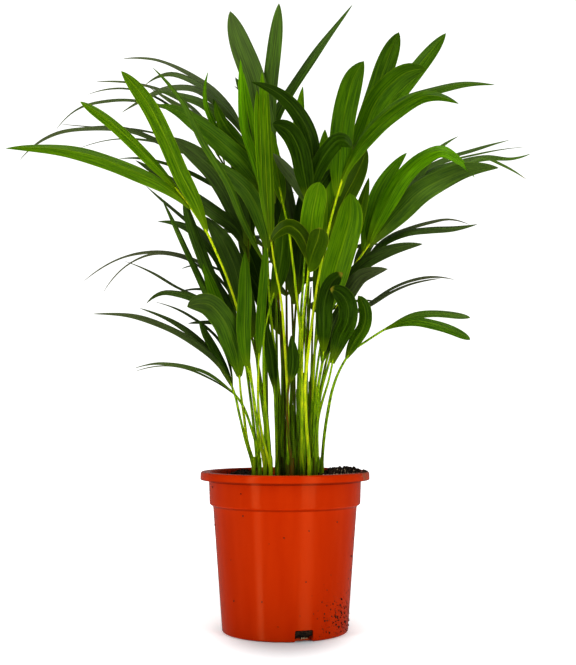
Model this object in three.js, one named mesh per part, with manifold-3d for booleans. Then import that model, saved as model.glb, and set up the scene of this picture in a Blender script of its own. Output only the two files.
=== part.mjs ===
// A clump of young areca palms in a moulded plastic nursery pot, in millimetres, +Z up.
// The origin is the middle of the pot's underside, and the floor is z = 0.
//
// The leaves are laid out by hand as they look from the front, on a picture plane through the
// pot's axis, and each has a depth of its own behind or before that plane. Leaves of different
// plants that would cross are then bent clear of each other in depth.

import * as THREE from "three";
import { mergeVertices } from "three/addons/utils/BufferGeometryUtils.js";
import Module from "manifold-3d";

const wasm = await Module();
wasm.setup();

// ---------------------------------------------------------------- driving dimensions

const POT = {
  height: 157,
  rimRadius: 84.3,
  rimBand: 8,
  neckRadius: 76,
  neckFoot: 125.5,
  shoulderRadius: 71.5,
  baseRadius: 62.4,
  wall: 1.4,
  floor: 1.8,
  footRing: 12,
  recess: 2.2,
  bossRadius: 18,
  sides: 48,
};

const DRAIN = { width: 18, height: 9.5, depth: 16, count: 3, firstAzimuth: -73 };

const COMPOST = {
  level: 147,
  mound: { x: 54, y: 8, height: 12.5, spread: 27 },
  lump: 1.1,
  gap: 0.4,
  rings: 7,
  sides: 30,
};

// The viewpoint that the front layout is drawn from: its distance before the pot's axis, height
// and sideways place, the tilt of its axis, and the height on the picture of the picture's middle.
const VIEW = {
  distance: 1196,
  focal: 1190,
  height: 219.5,
  aside: 3,
  tilt: THREE.MathUtils.degToRad(3.65),
  middle: 296.5,
};

const SHEATH = { below: 27, above: 24, radius: 2.6, top: 2.1, sides: 8, holeGap: 0.45 };
const STALK = { foot: 1.9, tip: 1.1, sides: 5, step: 60, nearest: 6 };
const BLADE = { thickness: 1.2, fold: 0.11, root: 0.24, sunk: 5, broadest: 0.36, fullness: 1.07 };
const STATIONS = [0, 0.13, 0.36, 0.64, 0.9, 1];

// How fast a blade narrows from its widest place to its tip.
const SLIM = 2.2;
const TAPER = 3.2;
const BLUNT = 6.5;

// ---------------------------------------------------------------- geometry helpers

// A geometry's vertices are merged, and triangles that closed up on the axis are dropped.
function solidOf(geometry) {
  const bare = geometry.clone();
  bare.deleteAttribute("normal");
  bare.deleteAttribute("uv");
  const merged = mergeVertices(bare, 1e-4);
  const index = Array.from(merged.index.array);
  const triangles = [];
  for (let i = 0; i < index.length; i += 3) {
    const [a, b, c] = index.slice(i, i + 3);
    if (a !== b && b !== c && c !== a) triangles.push(a, b, c);
  }
  const shape = new wasm.Mesh({
    numProp: 3,
    vertProperties: new Float32Array(merged.attributes.position.array),
    triVerts: new Uint32Array(triangles),
  });
  return new wasm.Manifold(shape);
}

function geometryOf(solid) {
  const mesh = solid.getMesh();
  const geometry = new THREE.BufferGeometry();
  geometry.setAttribute("position", new THREE.BufferAttribute(mesh.vertProperties, 3));
  geometry.setIndex(new THREE.BufferAttribute(mesh.triVerts, 1));
  geometry.computeVertexNormals();
  return geometry;
}

// A closed skin over rings of points. Each ring runs clockwise as seen from the last one, and a
// ring of one point closes that end. Where a thin blade's rings go over its top and back along its
// underside, both are split into triangles alike, so that they don't cross where it twists.
function loft(rings, overAndBack = false) {
  const corners = rings.flat();
  const starts = [];
  let count = 0;
  for (const ring of rings) {
    starts.push(count);
    count += ring.length;
  }
  const faces = [];
  for (let r = 0; r + 1 < rings.length; r++) {
    const n = Math.max(rings[r].length, rings[r + 1].length);
    const low = (i) => starts[r] + (rings[r].length > 1 ? i % n : 0);
    const high = (i) => starts[r + 1] + (rings[r + 1].length > 1 ? i % n : 0);
    for (let i = 0; i < n; i++) {
      const back = overAndBack && 2 * i >= n;
      if (rings[r].length > 1) faces.push(low(i), low(i + 1), back ? high(i + 1) : high(i));
      if (rings[r + 1].length > 1) faces.push(back ? low(i) : low(i + 1), high(i + 1), high(i));
    }
  }
  const last = starts[rings.length - 1];
  for (let i = 1; i + 1 < rings[0].length; i++) faces.push(0, i + 1, i);
  for (let i = 1; i + 1 < rings.at(-1).length; i++) faces.push(last, last + i, last + i + 1);
  const geometry = new THREE.BufferGeometry().setFromPoints(corners);
  geometry.setIndex(faces);
  return geometry;
}

// ---------------------------------------------------------------- the front layout

// The point at a place on the picture plane and a depth behind the pot's axis.
function placed([across, up, depth]) {
  const x = across - VIEW.aside;
  const y = up - VIEW.middle;
  const forward = VIEW.focal * Math.cos(VIEW.tilt) - y * Math.sin(VIEW.tilt);
  const rise = VIEW.focal * Math.sin(VIEW.tilt) + y * Math.cos(VIEW.tilt);
  const reach = (VIEW.distance + depth) / forward;
  return new THREE.Vector3(VIEW.aside + x * reach, depth, VIEW.height + rise * reach);
}

// The place on the picture plane, and the depth, of a point.
function seen(x, y, z) {
  const away = VIEW.distance + y;
  const above = z - VIEW.height;
  const forward = away * Math.cos(VIEW.tilt) + above * Math.sin(VIEW.tilt);
  const rise = above * Math.cos(VIEW.tilt) - away * Math.sin(VIEW.tilt);
  const scale = VIEW.focal / forward;
  return [VIEW.aside + (x - VIEW.aside) * scale, VIEW.middle + rise * scale, y];
}

// A smooth course through places set by hand, from 0 at its foot to 1 at its tip.
class Course {
  constructor(points) {
    this.points = points;
    this.knots = [0];
    for (let i = 1; i < points.length; i++) {
      const [a, b] = [points[i - 1], points[i]];
      this.knots.push(this.knots[i - 1] + Math.hypot(b[0] - a[0], b[1] - a[1], b[2] - a[2]));
    }
    this.length = this.knots.at(-1);
  }

  slope(i, axis) {
    const { points, knots } = this;
    const last = points.length - 1;
    const step = (k) => (points[k + 1][axis] - points[k][axis]) / (knots[k + 1] - knots[k]);
    if (last === 1) return step(0);
    if (i === 0) return 2 * step(0) - this.slope(1, axis);
    if (i === last) return 2 * step(last - 1) - this.slope(last - 1, axis);
    const [before, after] = [knots[i] - knots[i - 1], knots[i + 1] - knots[i]];
    return (step(i - 1) * after + step(i) * before) / (before + after);
  }

  // The span that holds a place along the course, and how far along the span it is.
  span(s) {
    const { knots } = this;
    const at = Math.min(Math.max(s, 0), 1) * this.length;
    let k = 0;
    while (k < knots.length - 2 && at > knots[k + 1]) k++;
    return [k, (at - knots[k]) / (knots[k + 1] - knots[k])];
  }

  at(s) {
    const [k, f] = this.span(s);
    const h = this.knots[k + 1] - this.knots[k];
    const [a, b] = [this.points[k], this.points[k + 1]];
    return [0, 1, 2].map((axis) => {
      const bend = h * f * (1 - f);
      const run = b[axis] - a[axis];
      const [m, n] = [this.slope(k, axis), this.slope(k + 1, axis)];
      const ease = f * f * (3 - 2 * f);
      return a[axis] + run * ease + bend * (m * (1 - f) - n * f);
    });
  }

  // Where along the course it reaches a height on the picture.
  atHeight(up) {
    const steps = 200;
    for (let i = 0; i < steps; i++) if (this.at(i / steps)[1] >= up) return i / steps;
    return 1;
  }
}

// ---------------------------------------------------------------- the plants

// Each plant stands at a place in the compost (x, y) and has one or more fronds. A frond has a
// stalk, as places [across, height, depth] on the front layout, and leaves. A leaf has the height
// at which it leaves the stalk, its width, its turn from flat-on to edge-on in degrees, how fast
// it narrows, and then its places out to the tip.
const YOUNG = "#5f9a12";
const GROWN = "#3f7410";
const DEEP = "#264d10";

const PLANTS = [
  {
    name: "plant_left_low",
    colour: DEEP,
    base: [-31, -5],
    fronds: [
      {
        stalk: [[-40, 191, -6], [-46, 216, -10], [-50, 234, -14], [-56, 249, -18]],
        leaves: [
          [249, 12, 60, SLIM, [-70, 270, -27], [-105, 296, -52], [-143, 311.5, -80], [-193, 315, -108]],
          [247, 12, 62, SLIM, [-70, 274, -14], [-105, 304, -12], [-146, 321, -8]],
          [245, 9, 72, SLIM, [-62, 284, -12], [-95, 314, 2], [-130, 327, 14]],
          [247, 11, 40, TAPER, [-70, 280, -22], [-80, 297, -26], [-86, 309, -30]],
        ],
      },
    ],
  },
  {
    name: "plant_left_broad",
    colour: GROWN,
    base: [-30, 9],
    fronds: [
      {
        stalk: [[-38, 189, 4], [-41, 213, -4], [-44, 234, -12], [-46, 262, -20]],
        leaves: [
          [257, 21.5, 6, BLUNT, [-53, 289, -40], [-63, 311, -56], [-78, 325, -68], [-98, 322, -78]],
          [
            258, 13, 54, TAPER, [-62, 306, -12], [-82, 327, -14], [-105, 335.5, -17], [-124, 336.5, -19],
            [-139, 325, -20],
          ],
          [256, 14, 20, TAPER, [-56, 300, -14], [-65, 322, -14], [-73, 342, -12], [-82, 366, -10]],
          [
            254, 9, 44, TAPER, [-62, 302, 4], [-77, 334, 10], [-95, 372, 16], [-108, 400, 20],
            [-124, 432, 24],
          ],
        ],
      },
    ],
  },
  {
    name: "plant_left_front",
    colour: GROWN,
    base: [-25, -18],
    fronds: [
      {
        stalk: [[-28, 203, -24], [-30, 223, -29], [-34, 247, -36], [-38, 263, -42]],
        leaves: [
          [262, 13.5, 8, TAPER, [-41, 300, -50], [-40, 330, -55], [-40, 355, -58], [-40, 378, -60]],
        ],
      },
      {
        stalk: [[-28, 181, -24], [-33, 199, -29], [-45, 228, -38], [-57, 241, -46]],
        leaves: [
          [239, 9, 70, SLIM, [-75, 255, -62], [-95, 262.5, -80], [-135, 265, -112], [-151, 260.5, -126]],
          [236, 6, 76, SLIM, [-75, 251, -54], [-95, 260, -64], [-118, 263.5, -76], [-150, 257.5, -92]],
        ],
      },
    ],
  },
  {
    name: "plant_left_bright",
    colour: YOUNG,
    base: [-20, -3],
    fronds: [
      {
        stalk: [
          [-28, 204, -7], [-33, 244, -14], [-38, 279, -20], [-48, 321, -28], [-58, 351, -34],
          [-69, 377, -40], [-80, 400, -44], [-95, 422, -48], [-110, 442, -52],
        ],
        leaves: [
          [424, 17, 38, SLIM, [-120, 442, -58], [-155, 459, -72], [-205, 476, -92], [-280, 480.5, -114]],
          [
            441, 11.5, 28, BLUNT, [-133, 467, -56], [-157, 491, -60], [-178, 509.5, -64],
            [-205, 527.5, -68],
          ],
          [
            400, 15.5, 10, BLUNT, [-90, 428, -54], [-103, 453, -60], [-119, 490, -68], [-137, 525, -76],
            [-164, 558, -84],
          ],
        ],
      },
    ],
  },
  {
    name: "plant_left_back",
    colour: DEEP,
    base: [-28, 23],
    fronds: [
      {
        stalk: [[-31, 200, 28], [-37, 250, 34], [-43, 290, 38], [-52, 325, 42], [-62, 360, 46]],
        leaves: [
          [
            300, 11, 73, SLIM, [-60, 345, 56], [-83, 366, 66], [-125, 378, 86], [-165, 371, 102],
            [-202, 347, 112],
          ],
          [
            296, 9, 76, SLIM, [-62, 341, 48], [-100, 371, 62], [-130, 376, 72], [-155, 366, 82],
            [-182, 336, 92],
          ],
          [
            290, 10, 75, SLIM, [-60, 318, 38], [-85, 332, 46], [-107, 342, 52], [-131, 356, 60],
            [-161, 368, 68],
          ],
          [325, 15, 56, TAPER, [-73, 380, 40], [-97, 402, 42], [-128, 407.5, 44]],
          [345, 12, 68, SLIM, [-72, 388, 56], [-99, 410, 66], [-139, 443, 80]],
          [
            302, 13, 30, BLUNT, [-60, 329, 18], [-71, 348, 14], [-83, 376, 12], [-94, 406, 12],
            [-101, 431, 12],
          ],
        ],
      },
    ],
  },
  {
    name: "plant_dark_left",
    colour: DEEP,
    base: [-15, 11],
    fronds: [
      {
        stalk: [[-20, 205, 12], [-26, 250, 14], [-31, 300, 14], [-36, 350, 12], [-36, 395, 10]],
        leaves: [
          [296, 22, 12, TAPER, [-43, 335, -2], [-54, 371, -6], [-65, 393, -8], [-81, 413, -10]],
          [372, 15, 28, SLIM, [-47, 398, 2], [-73, 419, -8], [-97, 436, -16], [-150, 469, -28]],
          [
            388, 22, 12, TAPER, [-46, 414, 8], [-58, 440, 4], [-73, 461, -2], [-92, 477, -6],
            [-114, 492, -12],
          ],
          [385, 17, 25, TAPER, [-36, 425, 16], [-46, 465, 20], [-60, 500, 24], [-72, 531, 26]],
        ],
      },
    ],
  },
  {
    name: "plant_upper_left",
    colour: GROWN,
    base: [-3, 7],
    fronds: [
      {
        stalk: [[-4.5, 220, 10], [-8, 260, 11], [-14, 310, 9], [-18, 380, 4], [-21, 434, 1], [-23, 462, -1]],
        leaves: [
          [
            434, 20, 12, SLIM, [-40, 464, -4], [-62, 485, -9], [-90, 507, -18], [-109, 519, -24],
            [-128, 524.5, -28],
          ],
          [458, 14, 22, TAPER, [-32, 474, -2], [-47, 487, -3], [-61, 505, -4], [-70, 528, -5]],
          [
            366, 8, 34, TAPER, [-40, 405, -22], [-57, 446, -34], [-82, 487, -40], [-103, 528, -44],
            [-133, 562, -46],
          ],
          [380, 17, 18, TAPER, [-24, 412, -10], [-36, 436, -16], [-52, 452, -22], [-80, 470, -30]],
          [436, 9, 15, TAPER, [-32, 474, -12], [-40, 500, -18], [-43, 535, -22], [-44.5, 570, -24]],
          [446, 7, 20, TAPER, [-27, 482, -6], [-33, 512, -8], [-38, 535, -9], [-41.5, 557, -10]],
          [
            438, 6.5, 25, TAPER, [-58, 484, 2], [-70, 503, 2], [-79, 524, 2], [-80, 540, 2],
            [-76.5, 558, 2],
          ],
        ],
      },
    ],
  },
  {
    name: "plant_back_left_arch",
    colour: DEEP,
    base: [-15, 33],
    fronds: [
      {
        stalk: [[-19, 229, 38], [-19, 329, 46], [-21, 409, 52], [-26, 454, 58], [-34, 482, 62], [-44, 502, 66]],
        leaves: [
          [
            484, 14, 60, SLIM, [-65, 524, 56], [-90, 541, 52], [-115, 542, 48], [-147, 527, 44],
            [-164, 516, 42],
          ],
          [494, 13, 60, SLIM, [-62, 525, 74], [-85, 545, 82], [-117, 555.5, 90], [-141, 543, 96]],
          [499, 13, 70, SLIM, [-70, 540, 88], [-95, 556, 100], [-135, 571, 116], [-163, 570, 126]],
          [462, 12, 55, SLIM, [-45, 482, 44], [-77, 507, 34], [-115, 529, 26], [-135, 541, 20]],
          [472, 14, 48, TAPER, [-60, 507, 44], [-82, 526, 42], [-105, 534, 40], [-128, 538, 36]],
          [440, 17, 25, TAPER, [-26, 478, 66], [-34, 520, 72], [-50, 552, 78]],
        ],
      },
    ],
  },
  {
    name: "plant_far_left_arch",
    colour: DEEP,
    base: [0, 24],
    fronds: [
      {
        stalk: [[-12, 250, 46], [-21, 340, 66], [-35, 409, 84], [-52, 448, 98], [-70, 478, 108]],
        leaves: [
          [
            450, 15, 68, SLIM, [-85, 472, 108], [-120, 486, 114], [-155, 500, 120], [-195, 501.5, 126],
            [-230, 496, 132], [-266, 468, 138],
          ],
          [
            465, 13, 76, SLIM, [-75, 499, 114], [-127, 525, 126], [-175, 529, 134], [-205, 521.5, 140],
            [-229, 499, 146],
          ],
          [474, 12, 72, SLIM, [-88, 518, 128], [-125, 540, 140], [-155, 547, 148], [-190, 547, 156]],
          [476, 10, 78, SLIM, [-95, 508, 136], [-135, 535, 152], [-165, 541, 160], [-198, 534, 168]],
          [458, 9, 80, SLIM, [-100, 486, 124], [-150, 500, 142], [-180, 501.5, 152], [-225, 505, 164]],
          [440, 9, 80, SLIM, [-75, 464, 98], [-115, 484, 104], [-165, 490.5, 112], [-205, 481, 120]],
          [425, 12, 70, SLIM, [-80, 450, 92], [-115, 465, 98], [-140, 471, 102], [-167, 470, 106]],
        ],
      },
    ],
  },
  {
    name: "plant_spear",
    colour: YOUNG,
    base: [3, -7],
    fronds: [
      {
        stalk: [[3, 200, -12], [2, 245, -18], [0, 279, -22], [-4, 329, -27], [-10, 362, -30], [-15, 396, -33]],
        leaves: [
          [391, 8, 10, BLUNT, [-20, 425, -30], [-25, 475, -32], [-27, 515, -33], [-28, 539, -34]],
          [394, 8, 6, BLUNT, [-18, 429, -36], [-20, 479, -38], [-22, 529, -39], [-23, 557, -39]],
          [388, 7, 14, BLUNT, [-14, 425, -42], [-16, 475, -44], [-18, 515, -45], [-18, 544, -46]],
        ],
      },
    ],
  },
  {
    name: "plant_front_left_stem",
    colour: GROWN,
    base: [-14, -16],
    fronds: [
      {
        stalk: [[-22, 189, -20], [-26, 213, -24], [-27, 242, -26], [-26, 276, -28]],
        leaves: [[274, 9, 12, TAPER, [-25, 305, -30], [-22.5, 338, -33], [-19, 386, -35]]],
      },
      {
        stalk: [
          [-17, 194, -15], [-20, 227, -16], [-21.5, 271, -17],
          [-21, 295, -17], [-17, 314, -16], [-10, 339, -14],
        ],
        leaves: [[335, 17, 18, TAPER, [-5, 362, -14], [-2, 390, -14], [-1, 425, -13]]],
      },
    ],
  },
  {
    name: "plant_dark_stem",
    colour: DEEP,
    base: [-8, 1],
    fronds: [
      {
        stalk: [[-9, 200, -2], [-10, 230, -5], [-10.5, 262, -8]],
        leaves: [[244, 11, 20, TAPER, [-13, 268, -10], [-16, 285, -9], [-19.5, 311, -7]]],
      },
      {
        stalk: [[-8, 230, 3], [-9, 330, 6], [-12, 420, 11], [-13, 466, 12]],
        leaves: [
          [430, 23, 6, BLUNT, [-20, 490, 6], [-33, 555, 0], [-44, 584, -4], [-55, 618, -8]],
          [444, 14.5, 5, BLUNT, [-16, 529, 8], [-11, 579, 2], [-8.5, 600, -2], [-6, 626, -4]],
          [462, 14, 46, SLIM, [-8, 517, 24], [5, 539, 30], [25, 569, 36], [45, 596, 42], [68, 625, 48]],
          [430, 8, 40, SLIM, [-24, 500, 22], [-34, 526, 26], [-52, 544, 30]],
        ],
      },
    ],
  },
  {
    name: "plant_dark_trio",
    colour: DEEP,
    base: [13, 3],
    fronds: [
      {
        stalk: [[13, 229, -2], [15, 299, -10], [19, 359, -24], [22, 409, -34], [24, 437, -40], [25, 448, -42]],
        leaves: [
          [
            444, 15.5, 5, SLIM, [28, 472, -46], [23, 497, -54], [12, 517, -64], [-5, 534.5, -78],
            [-34, 547, -92],
          ],
          [431, 17.5, 0, BLUNT, [19, 456, -60], [13, 482, -78], [1, 500, -96], [-13, 505, -108]],
          [434, 15.5, 5, BLUNT, [32, 459, -50], [42, 477, -64], [55, 489, -78], [67, 481, -90]],
          [426, 13, 25, TAPER, [12, 447, -26], [0, 462, -14], [-12, 476, -4]],
          [424, 12, 30, TAPER, [36, 444, -32], [44, 455, -32], [53, 464, -32]],
        ],
      },
    ],
  },
  {
    name: "plant_bright_stem",
    colour: YOUNG,
    base: [17, -14],
    fronds: [
      {
        stalk: [
          [17, 213, -18], [17, 269, -26], [18, 309, -34],
          [20, 329, -42], [23, 354, -54], [24.5, 379, -64],
        ],
        leaves: [
          [373, 20.5, 0, BLUNT, [26, 396, -74], [27.5, 414, -84], [31, 432, -94], [34.5, 447, -104]],
          [
            368, 14, 10, TAPER, [20, 387, -76], [12, 399, -90], [3, 403, -102], [-6, 398, -112],
            [-15, 386.5, -120],
          ],
          [362, 20, [58, 0], BLUNT, [28.5, 378, -84], [33, 390, -98], [35, 401.5, -106]],
        ],
      },
      {
        stalk: [
          [16, 269, -17], [15, 299, -18], [12, 329, -19], [7, 374, -20], [4, 396, -20],
          [-1, 420, -16], [-6, 442, -10],
        ],
        leaves: [[430, 14, 20, TAPER, [-8, 459, -2], [-11, 476, 4], [-13, 498, 6]]],
      },
    ],
  },
  {
    name: "plant_right_tall",
    colour: GROWN,
    base: [24, -27],
    fronds: [
      {
        stalk: [
          [21, 213, -31], [20, 242, -35], [21.5, 261, -38], [27, 307, -44], [34, 354, -47],
          [43, 398, -47], [52, 432, -43], [60, 457, -37], [65, 469, -32], [70, 484, -26],
        ],
        leaves: [
          [
            437, 22, 5, BLUNT, [55, 470, -36], [57, 500, -39], [62, 528, -41], [71, 556, -41],
            [79, 568, -39],
          ],
          [483, 20, 5, BLUNT, [80, 503, -8], [90, 532, 4], [100, 563, 12], [114, 597, 18]],
          [
            464, 22, 8, BLUNT, [79, 497, -22], [89, 523, -22], [105, 544, -22], [123, 557, -22],
            [141, 560, -22],
          ],
          [472, 17, 18, BLUNT, [88, 507, 6], [117, 541, 18], [142, 573, 28], [161, 596, 34]],
          [
            462, 14, 50, SLIM, [77, 491, -36], [110, 524, -56], [145, 538, -76], [180, 545, -94],
            [211, 544, -108],
          ],
          [450, 13.5, 28, TAPER, [73, 478, -48], [109, 515, -74], [140, 532.5, -98], [174, 525, -122]],
        ],
      },
    ],
  },
  {
    name: "plant_big_leaf",
    colour: YOUNG,
    base: [27, 0],
    fronds: [
      {
        stalk: [[29, 209, -4], [31, 249, -10], [35, 280, -15], [40, 306, -19], [44, 324, -22]],
        leaves: [
          [322, 26.5, 0, BLUNT, [49.5, 355, -26], [59, 388, -27], [65, 413, -26], [65, 436, -24]],
          [306, 15, 8, TAPER, [36, 338, -12], [36, 366, -8], [37, 396, -4]],
        ],
      },
      {
        stalk: [[28, 240, 4], [33, 320, 4], [40, 380, 4], [48, 410, 3]],
        leaves: [
          [404, 19, 15, TAPER, [60, 432, 4], [72, 455, 8], [82, 480, 14]],
          [330, 15, 20, TAPER, [54, 362, 10], [67, 394, 16], [76, 422, 20], [84, 452, 22]],
          [388, 18, 15, TAPER, [42, 425, 4], [40, 465, 6], [40, 500, 10]],
          [370, 17, 20, TAPER, [33, 405, 6], [24, 440, 10], [16, 480, 12], [18, 543, 14]],
        ],
      },
    ],
  },
  {
    name: "plant_right_arching",
    colour: DEEP,
    base: [30, -16],
    fronds: [
      {
        stalk: [[32, 209, -19], [34, 245, -27], [37, 266, -32], [40, 286, -38]],
        leaves: [
          [
            281, 15.5, 12, BLUNT, [38.5, 303, -48], [39, 322, -57], [43, 339, -67], [49, 349, -76],
            [58, 356, -84],
          ],
          [272, 12, 10, TAPER, [45, 297, -22], [52, 314, -18], [58, 329, -16]],
        ],
      },
    ],
  },
  {
    name: "plant_right_broad",
    colour: DEEP,
    base: [33, 5],
    fronds: [
      {
        stalk: [[34, 215, -2], [38, 230, -10], [43, 246, -22], [48, 270, -36]],
        leaves: [
          [270, 17, 0, BLUNT, [55, 291, -44], [62.5, 308, -60], [62, 326, -76], [55, 336, -88], [45, 340, -98]],
        ],
      },
      {
        stalk: [[32, 203, 7], [36, 237, 8], [45, 270, 6], [51, 300, 2], [58, 322, -2]],
        leaves: [
          [316, 15, 8, SLIM, [66, 341, -14], [75, 352, -22], [87, 357, -32], [103, 360, -42]],
          [320, 14, 28, TAPER, [64, 350, 0], [80, 367, -6], [98, 376.5, -14], [138, 385, -28]],
        ],
      },
    ],
  },
  {
    name: "plant_right_low",
    colour: GROWN,
    base: [36.5, -9],
    fronds: [
      {
        stalk: [
          [40, 199, -12], [43, 218, -16], [47, 238, -20], [52, 253, -24], [59, 267, -28],
          [66, 277, -32], [80, 287, -38], [97, 298, -44], [113, 307, -50],
        ],
        leaves: [
          [304, 9.5, 48, BLUNT, [130, 314, -64], [152, 316, -78], [170, 314.5, -90], [185.5, 311, -102]],
          [302, 9.5, 30, BLUNT, [130, 308, -70], [150, 304.5, -88], [167, 299, -104], [185, 289, -130]],
          [274, 12, 8, BLUNT, [71, 290, -44], [79, 303, -52], [80, 319, -60], [73, 333.5, -68]],
        ],
      },
    ],
  },
  {
    name: "plant_right_arch",
    colour: GROWN,
    base: [26, 20],
    fronds: [
      {
        stalk: [
          [29, 209, 23], [36, 259, 26], [45, 299, 28], [56, 334, 30], [66, 358, 31],
          [78, 376, 32], [90, 393, 32], [102, 412, 32],
        ],
        leaves: [
          [
            388, 19, [0, 60], TAPER, [104, 430, 10], [121, 456, 0], [139, 472, -10], [157, 478.5, -20],
            [175, 468, -28], [190, 451, -34],
          ],
          [380, 15, 10, TAPER, [86, 416, 36], [94, 439, 42], [106, 458, 48], [122, 476.5, 54]],
          [400, 13, 58, SLIM, [113, 431, 40], [130, 449, 50], [155, 482, 62], [174, 493, 68]],
          [
            386, 22, 10, SLIM, [112, 414, 20], [137, 438, -2], [158, 450, -18], [181, 459, -32],
            [214, 461, -52],
          ],
          [
            409, 15, 60, SLIM, [147, 458, 54], [173, 467, 68], [200, 472, 80], [228, 471, 94],
            [246, 475.5, 106],
          ],
          [408, 14, 70, SLIM, [128, 453, 66], [165, 473, 86], [185, 479, 98], [225, 489, 120]],
          [
            406, 11, 64, SLIM, [140, 444, 42], [175, 464, 46], [200, 472, 50], [215, 466, 54],
            [242, 449, 60],
          ],
          [411, 8, 74, SLIM, [145, 461, 96], [195, 476, 124], [240, 482, 146]],
        ],
      },
    ],
  },
  {
    name: "plant_right_back",
    colour: DEEP,
    base: [30, 33],
    fronds: [
      {
        stalk: [[33, 220, 38], [42, 270, 44], [55, 310, 48], [70, 345, 52], [82, 374, 54]],
        leaves: [
          [350, 14, 30, TAPER, [80, 382, 54], [90, 396, 54], [104, 403, 54], [114, 404, 54]],
          [
            372, 11, 72, SLIM, [105, 394, 64], [125, 402, 72], [145, 407.5, 80], [165, 410, 88],
            [185, 404, 96],
          ],
          [
            366, 12.5, 56, TAPER, [100, 388, 50], [120, 396.5, 46], [145, 400, 42], [170, 401, 38],
            [193, 405, 34],
          ],
          [
            316, 11, 74, SLIM, [85, 327, 62], [105, 340.5, 72], [125, 349, 82], [145, 352.5, 92],
            [170, 349, 104],
          ],
          [312, 10, 76, SLIM, [84, 324, 50], [105, 337, 52], [125, 345, 54], [156, 350.5, 56]],
        ],
      },
    ],
  },
  {
    name: "plant_inner",
    colour: DEEP,
    base: [4, 18],
    fronds: [
      {
        stalk: [[1, 230, 20], [-4, 300, 22], [-8, 350, 24], [-9, 385, 26]],
        leaves: [
          [366, 23, 8, TAPER, [-12, 396, 28], [-16, 432, 30], [-20, 470, 32]],
          [300, 21, 12, TAPER, [-21, 335, 24], [-34, 372, 26], [-47, 404, 28]],
          [304, 14, 15, TAPER, [-19, 322, 18], [-28, 342, 16], [-37, 358, 14]],
        ],
      },
      {
        stalk: [[7, 240, 22], [10, 310, 26], [13, 350, 30]],
        leaves: [
          [340, 23, 8, TAPER, [17, 380, 34], [19, 412, 36], [20, 448, 38]],
          [330, 21, 12, TAPER, [5, 372, 36], [3, 410, 40], [-2, 445, 42], [-9, 480, 44]],
        ],
      },
    ],
  },
  {
    name: "plant_small",
    colour: DEEP,
    base: [7, -22],
    fronds: [
      {
        stalk: [[3, 200, -24], [2, 223, -26], [4, 245, -28], [8, 264, -30]],
        leaves: [[252, 11.5, 15, SLIM, [8, 266, -34], [7.5, 280, -38], [6, 294, -40]]],
      },
    ],
  },
];

// Plants that lean away from the front, each with arching fronds laid out by one rule: the
// bearing of each frond in degrees (90 is straight back), how far and how high it reaches, the
// share of its stalk below the first pair of leaflets, how many pairs it has, and how long the
// longest leaflet is.
const ARCHING_PLANTS = [
  {
    name: "plant_back_left",
    base: [-19, 48],
    fronds: [[98, 92, 500, 0.68, 3, 85], [119, 112, 380, 0.62, 3, 80]],
  },
  { name: "plant_back_middle", base: [2, 40], fronds: [[91, 118, 450, 0.62, 3, 95]] },
  {
    name: "plant_back_right",
    base: [22, 46],
    fronds: [[78, 58, 505, 0.68, 3, 90], [58, 92, 400, 0.66, 3, 68]],
  },
  { name: "plant_back_low", base: [10, 30], fronds: [[93, 150, 425, 0.82, 3, 50]] },
];
const LEAFLET = { width: 17, lastPair: 0.97, spread: 38, droop: 0.34, turn: 8 };

function archingFrond([baseX, baseY], [bearing, reach, top, firstPair, pairs, longest]) {
  const angle = THREE.MathUtils.degToRad(bearing);
  const out = new THREE.Vector3(Math.cos(angle), Math.sin(angle), 0);
  const aside = new THREE.Vector3(-Math.sin(angle), Math.cos(angle), 0);
  const up = new THREE.Vector3(0, 0, 1);
  const foot = new THREE.Vector3(baseX, baseY, COMPOST.level);
  const along = (f) =>
    foot.clone().addScaledVector(out, reach * f ** 2.3)
      .addScaledVector(up, (top - foot.z) * f * (1.15 - 0.15 * f));
  const shown = (point) => seen(point.x, point.y, point.z);
  const stalk = [0.2, 0.4, 0.6, 0.8, 1].map((f) => shown(along(f)));
  const leaves = [];
  for (let pair = 0; pair < pairs; pair++) {
    const f = firstPair + ((LEAFLET.lastPair - firstPair) * pair) / (pairs - 1);
    const root = along(f);
    const rise = along(f + 0.03).sub(root).normalize();
    const size = longest * (0.72 + 0.28 * Math.sin((Math.PI * (pair + 0.8)) / pairs));
    const spread = THREE.MathUtils.degToRad(LEAFLET.spread * (1.25 - (0.75 * pair) / pairs));
    for (const side of [-1, 1]) {
      const heading = rise.clone().multiplyScalar(Math.cos(spread));
      heading.addScaledVector(aside, side * Math.sin(spread)).addScaledVector(out, 0.25).normalize();
      const place = (share) =>
        root.clone().addScaledVector(heading, size * share)
          .addScaledVector(up, -LEAFLET.droop * size * share ** 2.2)
          .addScaledVector(out, 0.2 * size * share ** 2);
      const width = LEAFLET.width * (0.8 + 0.2 * Math.sin(pair * 2.3 + side));
      const places = [0.3, 0.62, 1].map((share) => shown(place(share)));
      leaves.push([shown(root)[1], width, LEAFLET.turn * side, TAPER, ...places]);
    }
  }
  const facing = up.clone().multiplyScalar(0.8).addScaledVector(out, -0.6);
  return { stalk, leaves, facing };
}

// ---------------------------------------------------------------- stalks and leaves

class Stalk {
  constructor(base, frond) {
    const [x, y] = base;
    const upright = [-21, -6, 9].map((height) => seen(x, y, COMPOST.level + height));
    this.course = new Course([...upright, ...frond.stalk]);
    this.fixed = upright.length;
  }

  radius(s) {
    return STALK.foot + (STALK.tip - STALK.foot) * s;
  }
}

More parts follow.
